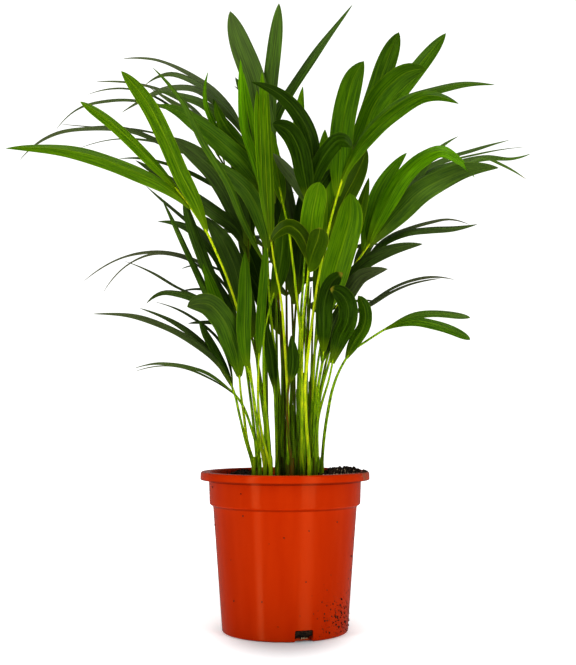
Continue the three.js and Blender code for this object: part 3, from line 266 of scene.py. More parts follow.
PALMS = (
    Palm("plant_left_low", DEEP, (-31, -5), (0.35, 0.5), (Frond(
        (-40, 191, -6, -46, 216, -10, -50, 234, -14, -56, 249, -18), (
        Blade(249, 12, 60, SLIM, (-0.2, 1, 0.5), (-70, 270, -27, -105, 296, -52, -143, 311.5, -80,
            -193, 315, -108)),
        Blade(247, 12, 62, SLIM, (0, 0.5, 0.3), (-70, 274, -14, -105, 304, -12, -146, 321, -8)),
        Blade(245, 9, 72, SLIM, (-0.2, 0.3, 0.4), (-62, 284, -12, -95, 314, 2, -130, 327, 14)),
        Blade(247, 11, 40, MEDIUM, (0.3, 1.7, 0.1), (-70, 280, -22, -80, 297, -26, -86, 309, -30)),
    )),)),
    Palm("plant_left_broad", GROWN, (-30, 9), (0.3, 0.3), (Frond(
        (-38, 189, 4, -41, 213, -4, -44, 234, -12, -46, 262, -20), (
        Blade(257, 21.5, 6, BLUNT, (1.4, -1, 0.15), (-53, 289, -40, -63, 311, -56, -78, 325, -68,
            -98, 322, -78)),
        Blade(258, 13, 54, MEDIUM, (1.2, -1.3, 0.15), (-62, 306, -12, -82, 327, -14,
            -105, 335.5, -17, -124, 336.5, -19, -139, 325, -20)),
        Blade(256, 14, 20, MEDIUM, (1.3, 0.3, 0), (-56, 300, -14, -65, 322, -14, -73, 342, -12,
            -82, 366, -10)),
        Blade(254, 9, 44, MEDIUM, (1, 0.4, 0.2), (-62, 302, 4, -77, 334, 10, -95, 372, 16,
            -108, 400, 20, -124, 432, 24)),
    )),)),
    Palm("plant_left_front", GROWN, (-25, -18), (0.4, 0.35), (Frond(
        (-28, 203, -24, -30, 223, -29, -34, 247, -36, -38, 263, -42), (
        Blade(262, 13.5, 8, MEDIUM, (0.7, -0.1, 0), (-41, 300, -50, -40, 330, -55, -40, 355, -58,
            -40, 378, -60)),
    )), Frond(
        (-28, 181, -24, -33, 199, -29, -45, 228, -38, -57, 241, -46), (
        Blade(239, 9, 70, SLIM, (0, 0.4, 0.6), (-75, 255, -62, -95, 262.5, -80, -135, 265, -112,
            -151, 260.5, -126)),
        Blade(236, 6, 76, SLIM, (0, 0.5, 0.8), (-75, 251, -54, -95, 260, -64, -118, 263.5, -76,
            -150, 257.5, -92)),
    ))), ((-1, -2.6, 14, 1),)),
    Palm("plant_left_bright", YOUNG, (-20, -3), (0.3, 0.1), (Frond(
        (-28, 204, -7, -33, 244, -14, -38, 279, -20, -48, 321, -28, -58, 351, -34, -69, 377, -40,
            -80, 400, -44, -95, 422, -48, -110, 442, -52), (
        Blade(424, 17, 38, SLIM, (-0.3, -0.2, 0), (-120, 442, -58, -155, 459, -72, -205, 476, -92,
            -280, 480.5, -114)),
        Blade(441, 11.5, 28, BLUNT, (-0.1, -0.2, 0), (-133, 467, -56, -157, 491, -60,
            -178, 509.5, -64, -205, 527.5, -68)),
        Blade(400, 15.5, 10, BLUNT, (-0.3, -0.4, 0), (-90, 428, -54, -103, 453, -60, -119, 490, -68,
            -137, 525, -76, -164, 558, -84)),
    )),), ((0, -1.5, 85, 0.4), (0, 3, 52, 0.6))),
    Palm("plant_left_back", DEEP, (-28, 23), (0.35, 0.7), (Frond(
        (-31, 200, 28, -37, 250, 34, -43, 290, 38, -52, 325, 42, -62, 360, 46), (
        Blade(300, 11, 73, SLIM, (0.6, 1.2, 0.9), (-60, 345, 56, -83, 366, 66, -125, 378, 86,
            -165, 371, 102, -202, 347, 112)),
        Blade(296, 9, 76, SLIM, (0.6, 1.2, 0.9), (-62, 341, 48, -100, 371, 62, -130, 376, 72,
            -155, 366, 82, -182, 336, 92)),
        Blade(290, 10, 75, SLIM, (0.3, 0.9, 0.6), (-60, 318, 38, -85, 332, 46, -107, 342, 52,
            -131, 356, 60, -161, 368, 68)),
        Blade(325, 15, 56, MEDIUM, (0.2, 1.3, 0.15), (-73, 380, 40, -97, 402, 42, -128, 407.5, 44)),
        Blade(345, 12, 68, SLIM, (0.2, 0.9, 0.3), (-72, 388, 56, -99, 410, 66, -139, 443, 80)),
        Blade(302, 13, 30, BLUNT, (1.2, 1.6, 0.15), (-60, 329, 18, -71, 348, 14, -83, 376, 12,
            -94, 406, 12, -101, 431, 12)),
    )),), ((0, 1, 78, 0.6),)),
    Palm("plant_dark_left", DEEP, (-15, 11), (0.45, 0.6), (Frond(
        (-20, 205, 12, -26, 250, 14, -31, 300, 14, -36, 350, 12, -36, 395, 10), (
        Blade(296, 22, 12, MEDIUM, (-0.4, -0.2, 0.1), (-43, 335, -2, -54, 371, -6, -65, 393, -8,
            -81, 413, -10)),
        Blade(372, 15, 28, SLIM, (-0.2, 0.4, 0.2), (-47, 398, 2, -73, 419, -8, -97, 436, -16,
            -150, 469, -28)),
        Blade(388, 22, 12, MEDIUM, (0.6, 1.6, 0.3), (-46, 414, 8, -58, 440, 4, -73, 461, -2,
            -92, 477, -6, -114, 492, -12)),
        Blade(385, 17, 25, MEDIUM, (-0.5, 0.4, 0), (-36, 425, 16, -46, 465, 20, -60, 500, 24,
            -72, 531, 26)),
    )),), ((0, -4.5, 95, 0.55),)),
    Palm("plant_upper_left", GROWN, (-3, 7), (0.6, 0.4), (Frond(
        (-4.5, 220, 10, -8, 260, 11, -14, 310, 9, -18, 380, 4, -21, 434, 1, -23, 462, -1), (
        Blade(434, 20, 12, SLIM, (0.2, 1.2, 0.1), (-40, 464, -4, -62, 485, -9, -90, 507, -18,
            -109, 519, -24, -128, 524.5, -28)),
        Blade(458, 14, 22, MEDIUM, (-0.2, -0.2, 0), (-32, 474, -2, -47, 487, -3, -61, 505, -4,
            -70, 528, -5)),
        Blade(366, 8, 34, MEDIUM, (-0.4, 1.2, 0.15), (-40, 405, -22, -57, 446, -34, -82, 487, -40,
            -103, 528, -44, -133, 562, -46)),
        Blade(380, 17, 18, MEDIUM, (0.3, 0.4, 0.15), (-24, 412, -10, -36, 436, -16, -52, 452, -22,
            -80, 470, -30)),
        Blade(436, 9, 15, MEDIUM, (1, 4.8, 0), (-32, 474, -12, -40, 500, -18, -43, 535, -22,
            -44.5, 570, -24)),
        Blade(446, 7, 20, MEDIUM, (0.6, 4.8, 0), (-27, 482, -6, -33, 512, -8, -38, 535, -9,
            -41.5, 557, -10)),
        Blade(438, 6.5, 25, MEDIUM, (0.1, 3.6, 0), (-58, 484, 2, -70, 503, 2, -79, 524, 2,
            -80, 540, 2, -76.5, 558, 2)),
    )),), ((0, 0.6, 140, 0.62), (0, 4, 60, 0.75))),
    Palm("plant_back_left_arch", DEEP, (-15, 33), (0.55, 0.6), (Frond(
        (-19, 229, 38, -19, 329, 46, -21, 409, 52, -26, 454, 58, -34, 482, 62, -44, 502, 66), (
        Blade(484, 14, 60, SLIM, (1, 1.6, 0.5), (-65, 524, 56, -90, 541, 52, -115, 542, 48,
            -147, 527, 44, -164, 516, 42)),
        Blade(494, 13, 60, SLIM, (1.3, 2, 0.4), (-62, 525, 74, -85, 545, 82, -117, 555.5, 90,
            -141, 543, 96), 0.01),
        Blade(499, 13, 70, SLIM, (1, 1.8, 0.6), (-70, 540, 88, -95, 556, 100, -135, 571, 116,
            -163, 570, 126)),
        Blade(462, 12, 55, SLIM, (0.2, 1.6, 0.4), (-45, 482, 44, -77, 507, 34, -115, 529, 26,
            -135, 541, 20)),
        Blade(472, 14, 48, MEDIUM, (1.4, 2.4, 0.25), (-60, 507, 44, -82, 526, 42, -105, 534, 40,
            -128, 538, 36)),
        Blade(440, 17, 25, MEDIUM, (0.5, 1.2, 0.1), (-26, 478, 66, -34, 520, 72, -50, 552, 78)),
    )),)),
    Palm("plant_far_left_arch", DEEP, (0, 24), (0.8, 0.7), (Frond(
        (-12, 250, 46, -21, 340, 66, -35, 409, 84, -52, 448, 98, -70, 478, 108), (
        Blade(450, 15, 68, SLIM, (1, 1.8, 0.6), (-85, 472, 108, -120, 486, 114, -155, 500, 120,
            -195, 501.5, 126, -230, 496, 132, -266, 468, 138)),
        Blade(465, 13, 76, SLIM, (1, 1.6, 0.5), (-75, 499, 114, -127, 525, 126, -175, 529, 134,
            -205, 521.5, 140, -229, 499, 146)),
        Blade(474, 12, 72, SLIM, (1, 1.6, 0.6), (-88, 518, 128, -125, 540, 140, -155, 547, 148,
            -190, 547, 156)),
        Blade(476, 10, 78, SLIM, (1, 1.6, 0.6), (-95, 508, 136, -135, 535, 152, -165, 541, 160,
            -198, 534, 168)),
        Blade(458, 9, 80, SLIM, (1, 1.8, 0.6), (-100, 486, 124, -150, 500, 142, -180, 501.5, 152,
            -225, 505, 164)),
        Blade(440, 9, 80, SLIM, (1, 1.6, 0.4), (-75, 464, 98, -115, 484, 104, -165, 490.5, 112,
            -205, 481, 120)),
        Blade(425, 12, 70, SLIM, (0.5, 1.2, 0.2), (-80, 450, 92, -115, 465, 98, -140, 471, 102,
            -167, 470, 106)),
    )),)),
    Palm("plant_spear", YOUNG, (3, -7), (0.75, 0.06), (Frond(
        (3, 200, -12, 2, 245, -18, 0, 279, -22, -4, 329, -27, -10, 362, -30, -15, 396, -33), (
        Blade(391, 8, 10, BLUNT, (0.1, 0.7, 0), (-20, 425, -30, -25, 475, -32, -27, 515, -33,
            -28, 539, -34)),
        Blade(394, 8, 6, BLUNT, (-1, 0.7, 0), (-18, 429, -36, -20, 479, -38, -22, 529, -39,
            -23, 557, -39)),
        Blade(388, 7, 14, BLUNT, (-1.2, 0.1, 0), (-14, 425, -42, -16, 475, -44, -18, 515, -45,
            -18, 544, -46)),
    )),)),
    Palm("plant_front_left_stem", GROWN, (-14, -16), (0.3, 0.3), (Frond(
        (-22, 189, -20, -26, 213, -24, -27, 242, -26, -26, 276, -28), (
        Blade(274, 9, 12, MEDIUM, (1.3, 0.9, 0), (-25, 305, -30, -22.5, 338, -33, -19, 386, -35)),
    )), Frond(
        (-17, 194, -15, -20, 227, -16, -21.5, 271, -17, -21, 295, -17, -17, 314, -16,
            -10, 339, -14), (
        Blade(335, 17, 18, MEDIUM, (-0.6, -0.6, 0), (-5, 362, -14, -2, 390, -14, -1, 425, -13)),
    )))),
    Palm("plant_dark_stem", DEEP, (-8, 1), (0.42, 0.6), (Frond(
        (-9, 200, -2, -10, 230, -5, -10.5, 262, -8), (
        Blade(244, 11, 20, MEDIUM, (-0.3, 0, 0), (-13, 268, -10, -16, 285, -9, -19.5, 311, -7)),
    )), Frond(
        (-8, 230, 3, -9, 330, 6, -12, 420, 11, -13, 466, 12), (
        Blade(430, 23, 6, BLUNT, (0.9, 2.5, 0.3), (-20, 490, 6, -33, 555, 0, -44, 584, -4,
            -55, 618, -8)),
        Blade(444, 14.5, 5, BLUNT, (0.9, 2.8, 0.2), (-16, 529, 8, -11, 579, 2, -8.5, 600, -2,
            -6, 626, -4)),
        Blade(462, 14, 46, SLIM, (1.5, 2.2, 0.15), (-8, 517, 24, 5, 539, 30, 25, 569, 36,
            45, 596, 42, 68, 625, 48)),
        Blade(430, 8, 40, SLIM, (-1.7, -1.7, 0), (-24, 500, 22, -34, 526, 26, -52, 544, 30)),
    ))), ((2, 1, 92, 0.6),)),
    Palm("plant_dark_trio", DEEP, (13, 3), (0.68, 0.4), (Frond(
        (13, 229, -2, 15, 299, -10, 19, 359, -24, 22, 409, -34, 24, 437, -40, 25, 448, -42), (
        Blade(444, 15.5, 5, SLIM, (-0.6, -0.7, 0), (28, 472, -46, 23, 497, -54, 12, 517, -64,
            -5, 534.5, -78, -34, 547, -92)),
        Blade(431, 17.5, 0, BLUNT, (-0.3, -0.8, 0), (19, 456, -60, 13, 482, -78, 1, 500, -96,
            -13, 505, -108)),
        Blade(434, 15.5, 5, BLUNT, (-0.1, 0.2, 0), (32, 459, -50, 42, 477, -64, 55, 489, -78,
            67, 481, -90)),
        Blade(426, 13, 25, MEDIUM, (0.3, 1.2, 0.4), (12, 447, -26, 0, 462, -14, -12, 476, -4)),
        Blade(424, 12, 30, MEDIUM, (-0.6, -0.6, 0), (36, 444, -32, 44, 455, -32, 53, 464, -32)),
    )),), ((0, -1, 92, 0.62), (-3, -1.6, 70, 0.55))),
    Palm("plant_bright_stem", YOUNG, (17, -14), (0.4, 0.2), (Frond(
        (17, 213, -18, 17, 269, -26, 18, 309, -34, 20, 329, -42, 23, 354, -54, 24.5, 379, -64), (
        Blade(373, 20.5, 0, BLUNT, (0.5, -0.3, 0), (26, 396, -74, 27.5, 414, -84, 31, 432, -94,
            34.5, 447, -104)),
        Blade(368, 14, 10, MEDIUM, (-1.7, -1.6, 0), (20, 387, -76, 12, 399, -90, 3, 403, -102,
            -6, 398, -112, -15, 386.5, -120), 0),
        Blade(362, 20, (58, 0), BLUNT, (-1, -1.6, 0), (28.5, 378, -84, 33, 390, -98,
            35, 401.5, -106), 0),
    )), Frond(
        (16, 269, -17, 15, 299, -18, 12, 329, -19, 7, 374, -20, 4, 396, -20, -1, 420, -16,
            -6, 442, -10), (
        Blade(430, 14, 20, MEDIUM, (-0.7, 0, 0), (-8, 459, -2, -11, 476, 4, -13, 498, 6)),
    ))), ((0, -2, 135, 0.45), (0, 3.2, 128, 0.35), (-1.6, -0.8, 122, 0.4), (1.7, 0.4, 108, 0.55))),
    Palm("plant_right_tall", GROWN, (24, -27), (0.35, 0.14), (Frond(
        (21, 213, -31, 20, 242, -35, 21.5, 261, -38, 27, 307, -44, 34, 354, -47, 43, 398, -47,
            52, 432, -43, 60, 457, -37, 65, 469, -32, 70, 484, -26), (
        Blade(437, 22, 5, BLUNT, (1.4, -0.2, 0), (55, 470, -36, 57, 500, -39, 62, 528, -41,
            71, 556, -41, 79, 568, -39)),
        Blade(483, 20, 5, BLUNT, (1.6, -0.7, 0), (80, 503, -8, 90, 532, 4, 100, 563, 12,
            114, 597, 18)),
        Blade(464, 22, 8, BLUNT, (2, -0.5, 0), (79, 497, -22, 89, 523, -22, 105, 544, -22,
            123, 557, -22, 141, 560, -22)),
        Blade(472, 17, 18, BLUNT, (1.6, 0, 0), (88, 507, 6, 117, 541, 18, 142, 573, 28,
            161, 596, 34)),
        Blade(462, 14, 50, SLIM, (1.4, 0.2, 0.1), (77, 491, -36, 110, 524, -56, 145, 538, -76,
            180, 545, -94, 211, 544, -108)),
        Blade(450, 13.5, 28, MEDIUM, (1, 0.4, 0), (73, 478, -48, 109, 515, -74, 140, 532.5, -98,
            174, 525, -122)),
    )),)),
    Palm("plant_big_leaf", YOUNG, (27, 0), (0.6, 0.3), (Frond(
        (29, 209, -4, 31, 249, -10, 35, 280, -15, 40, 306, -19, 44, 324, -22), (
        Blade(322, 26.5, 0, BLUNT, (0.1, 0, 0), (49.5, 355, -26, 59, 388, -27, 65, 413, -26,
            65, 436, -24)),
        Blade(306, 15, 8, MEDIUM, (-1, -1.5, 0), (36, 338, -12, 36, 366, -8, 37, 396, -4)),
    )), Frond(
        (28, 240, 4, 33, 320, 4, 40, 380, 4, 48, 410, 3), (
        Blade(404, 19, 15, MEDIUM, (-1.3, -1.5, 0), (60, 432, 4, 72, 455, 8, 82, 480, 14)),
        Blade(330, 15, 20, MEDIUM, (-1, -1, 0), (54, 362, 10, 67, 394, 16, 76, 422, 20,
            84, 452, 22)),
        Blade(388, 18, 15, MEDIUM, (0.2, -0.3, 0), (42, 425, 4, 40, 465, 6, 40, 500, 10)),
        Blade(370, 17, 20, MEDIUM, (0.3, 0.1, 0), (33, 405, 6, 24, 440, 10, 16, 480, 12,
            18, 543, 14)),
    )))),
    Palm("plant_right_arching", DEEP, (30, -16), (0.6, 0.5), (Frond(
        (32, 209, -19, 34, 245, -27, 37, 266, -32, 40, 286, -38), (
        Blade(281, 15.5, 12, BLUNT, (0.3, -0.6, 0), (38.5, 303, -48, 39, 322, -57, 43, 339, -67,
            49, 349, -76, 58, 356, -84), 0.022),
        Blade(272, 12, 10, MEDIUM, (-0.6, -0.5, 0.1), (45, 297, -22, 52, 314, -18, 58, 329, -16)),
    )),)),
    Palm("plant_right_broad", DEEP, (33, 5), (0.5, 0.45), (Frond(
        (34, 215, -2, 38, 230, -10, 43, 246, -22, 48, 270, -36), (
        Blade(270, 17, 0, BLUNT, (0.4, -0.6, 0), (55, 291, -44, 62.5, 308, -60, 62, 326, -76,
            55, 336, -88, 45, 340, -98), 0.014),
    )), Frond(
        (32, 203, 7, 36, 237, 8, 45, 270, 6, 51, 300, 2, 58, 322, -2), (
        Blade(316, 15, 8, SLIM, (-0.2, 0.6, 0.5), (66, 341, -14, 75, 352, -22, 87, 357, -32,
            103, 360, -42)),
        Blade(320, 14, 28, MEDIUM, (0.1, 0.1, 0.2), (64, 350, 0, 80, 367, -6, 98, 376.5, -14,
            138, 385, -28)),
    )))),
    Palm("plant_right_low", GROWN, (36.5, -9), (0.5, 0.3), (Frond(
        (40, 199, -12, 43, 218, -16, 47, 238, -20, 52, 253, -24, 59, 267, -28, 66, 277, -32,
            80, 287, -38, 97, 298, -44, 113, 307, -50), (
        Blade(304, 9.5, 48, BLUNT, (1.3, 1.3, 0.3), (130, 314, -64, 152, 316, -78, 170, 314.5, -90,
            185.5, 311, -102)),
        Blade(302, 9.5, 30, BLUNT, (0.7, 1.5, 0.1), (130, 308, -70, 150, 304.5, -88, 167, 299, -104,
            185, 289, -130)),
        Blade(274, 12, 8, BLUNT, (-0.3, -0.7, 0), (71, 290, -44, 79, 303, -52, 80, 319, -60,
            73, 333.5, -68)),
    )),)),
    Palm("plant_right_arch", GROWN, (26, 20), (0.5, 0.25), (Frond(
        (29, 209, 23, 36, 259, 26, 45, 299, 28, 56, 334, 30, 66, 358, 31, 78, 376, 32, 90, 393, 32,
            102, 412, 32), (
        Blade(388, 19, (0, 60), MEDIUM, (1.6, 4.6, 0), (104, 430, 10, 121, 456, 0, 139, 472, -10,
            157, 478.5, -20, 175, 468, -28, 190, 451, -34)),
        Blade(380, 15, 10, MEDIUM, (1.6, 2.6, 0), (86, 416, 36, 94, 439, 42, 106, 458, 48,
            122, 476.5, 54)),
        Blade(400, 13, 58, SLIM, (0.6, 1.6, 0.3), (113, 431, 40, 130, 449, 50, 155, 482, 62,
            174, 493, 68)),
        Blade(386, 22, 10, SLIM, (0.5, 0.9, 0.3), (112, 414, 20, 137, 438, -2, 158, 450, -18,
            181, 459, -32, 214, 461, -52)),
        Blade(409, 15, 60, SLIM, (0.2, 2, 0.3), (147, 458, 54, 173, 467, 68, 200, 472, 80,
            228, 471, 94, 246, 475.5, 106)),
        Blade(408, 14, 70, SLIM, (0.3, 1.3, 0.4), (128, 453, 66, 165, 473, 86, 185, 479, 98,
            225, 489, 120)),
        Blade(406, 11, 64, SLIM, (0.8, 1.8, 0.4), (140, 444, 42, 175, 464, 46, 200, 472, 50,
            215, 466, 54, 242, 449, 60), 0.02),
        Blade(411, 8, 74, SLIM, (0.3, 1.2, 0.4), (145, 461, 96, 195, 476, 124, 240, 482, 146)),
    )),), ((0, -1.5, 100, 0.55), (1, 0.4, 126, 0.5), (-2, 5, 182, 0.62))),
    Palm("plant_right_back", DEEP, (30, 33), (0.75, 0.6), (Frond(
        (33, 220, 38, 42, 270, 44, 55, 310, 48, 70, 345, 52, 82, 374, 54), (
        Blade(350, 14, 30, MEDIUM, (0.5, 0.9, 0.35), (80, 382, 54, 90, 396, 54, 104, 403, 54,
            114, 404, 54)),
        Blade(372, 11, 72, SLIM, (0.8, 1.6, 0.9), (105, 394, 64, 125, 402, 72, 145, 407.5, 80,
            165, 410, 88, 185, 404, 96)),
        Blade(366, 12.5, 56, MEDIUM, (1.2, 1.4, 0.3), (100, 388, 50, 120, 396.5, 46, 145, 400, 42,
            170, 401, 38, 193, 405, 34)),
        Blade(316, 11, 74, SLIM, (0.8, 1.4, 0.9), (85, 327, 62, 105, 340.5, 72, 125, 349, 82,
            145, 352.5, 92, 170, 349, 104)),
        Blade(312, 10, 76, SLIM, (0.6, 1.4, 0.9), (84, 324, 50, 105, 337, 52, 125, 345, 54,
            156, 350.5, 56)),
    )),), ((0, -2, 72, 0.8),)),
    Palm("plant_inner", DEEP, (4, 18), (0.52, 0.75), (Frond(
        (1, 230, 20, -4, 300, 22, -8, 350, 24, -9, 385, 26), (
        Blade(366, 23, 8, MEDIUM, (-1.3, -1.3, 0), (-12, 396, 28, -16, 432, 30, -20, 470, 32)),
        Blade(300, 21, 12, MEDIUM, (-1, -0.6, 0), (-21, 335, 24, -34, 372, 26, -47, 404, 28)),
        Blade(304, 14, 15, MEDIUM, (-1, -1, 0), (-19, 322, 18, -28, 342, 16, -37, 358, 14)),
    )), Frond(
        (7, 240, 22, 10, 310, 26, 13, 350, 30), (
        Blade(340, 23, 8, MEDIUM, (-0.7, -0.7, 0), (17, 380, 34, 19, 412, 36, 20, 448, 38)),
        Blade(330, 21, 12, MEDIUM, (0, 1.2, 0.3), (5, 372, 36, 3, 410, 40, -2, 445, 42,
            -9, 480, 44)),
    ))), ((0, 3.5, 100, 0.7), (3.1, 1.3, 76, 0.55), (-3.4, -3.8, 108, 0.5), (0, -8, 172, 0.75))),
    Palm("plant_small", DEEP, (7, -22), (0.88, 0.84), (Frond(
        (3, 200, -24, 2, 223, -26, 4, 245, -28, 8, 264, -30), (
        Blade(252, 11.5, 15, SLIM, (0.1, -0.2, 0), (8, 266, -34, 7.5, 280, -38, 6, 294, -40)),
    )),)),
)


@dataclass(frozen=True)
class ArchingPalm:
    """A plant that leans away from the front, whose fronds are laid out by one rule.

    Each row of fronds holds the bearing in degrees (90 is straight back), how far and how high
    the frond reaches, the share of the stalk below the first pair of leaflets, how many pairs
    there are, and how long the longest leaflet is.
    """

    name: str
    base: Pair
    ripeness: Pair
    rows: tuple[tuple[float, float, float, float, int, float], ...]
    stubs: Stubs = ()

    width: float = 17
    last_pair: float = 0.97
    spread: float = 38
    droop: float = 0.34
    turn: float = 8

    def palm(self) -> Palm:
        """Lays out the plant's fronds as an ordinary plant of deep green."""
        fronds = tuple(self._frond(*row) for row in self.rows)
        return Palm(self.name, DEEP, self.base, self.ripeness, fronds, self.stubs)

    def _frond(
        self, bearing: float, reach: float, top: float, first: float, pairs: int, longest: float
    ) -> Frond:
        """Lays out one arching frond with its pairs of leaflets.

        Args:
            bearing: the way it leans, in degrees from +X.
            reach: how far its tip leans out.
            top: the height of its tip.
            first: the share of the stalk below the first pair.
            pairs: the number of pairs of leaflets.
            longest: the length of its longest leaflet.

        Returns:
            The frond, laid out as seen from the front.
        """
        angle = math.radians(bearing)
        out = np.array((math.cos(angle), math.sin(angle), 0.0))
        aside = np.array((-math.sin(angle), math.cos(angle), 0.0))
        foot = np.array((*self.base, COMPOST_LEVEL))

        def along(f: float) -> np.ndarray:
            """Returns the point at a share of the way along the frond."""
            climb = (top - foot[2]) * f * (1.15 - 0.15 * f)
            return foot + out * reach * f**2.3 + UP * climb

        stalk = np.ravel([VIEW.seen(along(f)) for f in (0.2, 0.4, 0.6, 0.8, 1)])
        blades = []
        for pair in range(pairs):
            f = first + ((self.last_pair - first) * pair) / (pairs - 1)
            root = along(f)
            rise = unit(along(f + 0.03) - root)
            size = longest * (0.72 + 0.28 * math.sin((math.pi * (pair + 0.8)) / pairs))
            spread = math.radians(self.spread * (1.25 - (0.75 * pair) / pairs))
            for side in (-1, 1):
                heading = rise * math.cos(spread) + aside * side * math.sin(spread)
                heading = unit(heading + out * 0.25)
                places = []
                for share in (0.3, 0.62, 1):
                    place = root + heading * size * share
                    place = place - UP * self.droop * size * share**2.2
                    places += tuple(VIEW.seen(place + out * 0.2 * size * share**2))
                width = self.width * (0.8 + 0.2 * math.sin(pair * 2.3 + side))
                level = float(VIEW.seen(root)[1])
                turn = self.turn * side
                blades.append(Blade(level, width, turn, MEDIUM, None, tuple(places)))
        facing = tuple(UP * 0.8 - out * 0.6)
        return Frond(tuple(stalk), tuple(blades), facing)


ARCHING_PALMS = (
    ArchingPalm("plant_back_left", (-19, 48), (0.7, 0.6),
        ((98, 92, 500, 0.68, 3, 85), (119, 112, 380, 0.62, 3, 80))),
    ArchingPalm("plant_back_middle", (2, 40), (0.55, 0.7), ((91, 118, 450, 0.62, 3, 95),),
        ((0, 6, 118, 0.7), (0, -1, 90, 0.8), (-2, -6, 188, 0.8), (2, -3, 170, 0.86))),
    ArchingPalm("plant_back_right", (22, 46), (0.7, 0.6),
        ((78, 58, 505, 0.68, 3, 90), (58, 92, 400, 0.66, 3, 68)),
        ((0, -3, 104, 0.6), (-3, 8, 200, 0.7), (2, -4, 184, 0.6))),
    ArchingPalm("plant_back_low", (10, 30), (0.52, 0.7), ((93, 150, 425, 0.82, 3, 50),),
        ((0, 4, 110, 0.65), (0, 0, 84, 0.75), (3, 9, 196, 0.75))),
)


# ---------- growing them


class Stalk:
    """The stalk of a frond, from its foot in the compost to its tip."""

    foot_radius = 1.9
    tip_radius = 1.1
    fixed = 3

    def __init__(self, base: Pair, frond: Frond) -> None:
        """Runs the stalk's course from its foot in the compost.

        Args:
            base: where the plant stands.
            frond: the frond that the stalk carries.
        """
        foot = [VIEW.seen(np.array((*base, COMPOST_LEVEL + rise))) for rise in (-21, -6, 9)]
        self.course = Course([*foot, *triples(frond.stalk)])

    def radius(self, s: float) -> float:
        """Returns the radius at a place along the stalk."""
        return self.foot_radius + (self.tip_radius - self.foot_radius) * s


class Leaf:
    """A leaf on its stalk, with its frame at each place along it."""

    fixed = 1
    sunk = 5.0
    broadest = 0.36
    fullness = 1.07
    root_share = 0.24
    fold = 0.11

    def __init__(self, stalk: Stalk, blade: Blade, facing: Triple | None) -> None:
        """Joins the leaf to its stalk.

        Args:
            stalk: the stalk that it grows from.
            blade: its layout.
            facing: the way it faces, or None for the front.
        """
        self.stalk = stalk
        self.blade = blade
        self.facing = None if facing is None else np.array(facing)
        self.root_at = stalk.course.at_height(blade.root) - self.sunk / stalk.course.length
        self.width = blade.width * self.fullness
        turn = blade.turn
        self.turns = turn if isinstance(turn, tuple) else (turn, turn)
        places = triples(blade.places)
        self.course = Course([stalk.course.at(self.root_at), *places])
        outward = facing is None and places[-1][0] > self.course.places[0][0]
        self.hand = -1 if outward else 1

    def half(self, s: float) -> float:
        """Returns the half width at a place along the blade."""
        swell = math.sin((math.pi / 2) * min(s / self.broadest, 1))
        late = max((s - self.broadest) / (1 - self.broadest), 0)
        fade = max(1 - late**self.blade.taper.value, 0)
        full = (self.width / 2) * fade**0.85
        return full * (self.root_share + (1 - self.root_share) * swell)

    def frame(self, s: float) -> tuple[np.ndarray, np.ndarray, np.ndarray]:
        """Finds how the blade lies at a place along it.

        Args:
            s: the place, from 0 at the root to 1 at the tip.

        Returns:
            The middle of the blade, its sideways direction and its face's direction.
        """
        step = 0.02
        middle = VIEW.placed(self.course.at(s))
        ahead = VIEW.placed(self.course.at(min(s + step, 1)))
        behind = VIEW.placed(self.course.at(max(s - step, 0)))
        along = unit(ahead - behind)
        toward = VIEW.eye() - middle if self.facing is None else self.facing
        face = unit(toward - along * (toward @ along))
        side = np.cross(along, face) * self.hand
        turn = math.radians(self.turns[0] + (self.turns[1] - self.turns[0]) * s)
        turned = face * math.cos(turn) + side * math.sin(turn)
        side = side * math.cos(turn) - face * math.sin(turn)
        return middle, side, turned


@dataclass
class GrownPalm:
    """A plant's stalks and leaves, once laid out."""

    plan: Palm
    stalks: list[Stalk]
    leaves: list[Leaf]

    @classmethod
    def grow(cls, plan: Palm) -> "GrownPalm":
        """Lays out a plant's stalks and leaves from its plan."""
        stalks = [Stalk(plan.base, frond) for frond in plan.fronds]
        leaves = [
            Leaf(stalk, blade, frond.facing)
            for stalk, frond in zip(stalks, plan.fronds)
            for blade in frond.blades
        ]
        return cls(plan, stalks, leaves)


class Probe(NamedTuple):
    """A point of a stalk or leaf: its plant, how far along it is, its place, and how far back."""

    piece: Stalk | Leaf
    plant: int
    s: float
    way: float
    across: float
    up: float
    behind: float


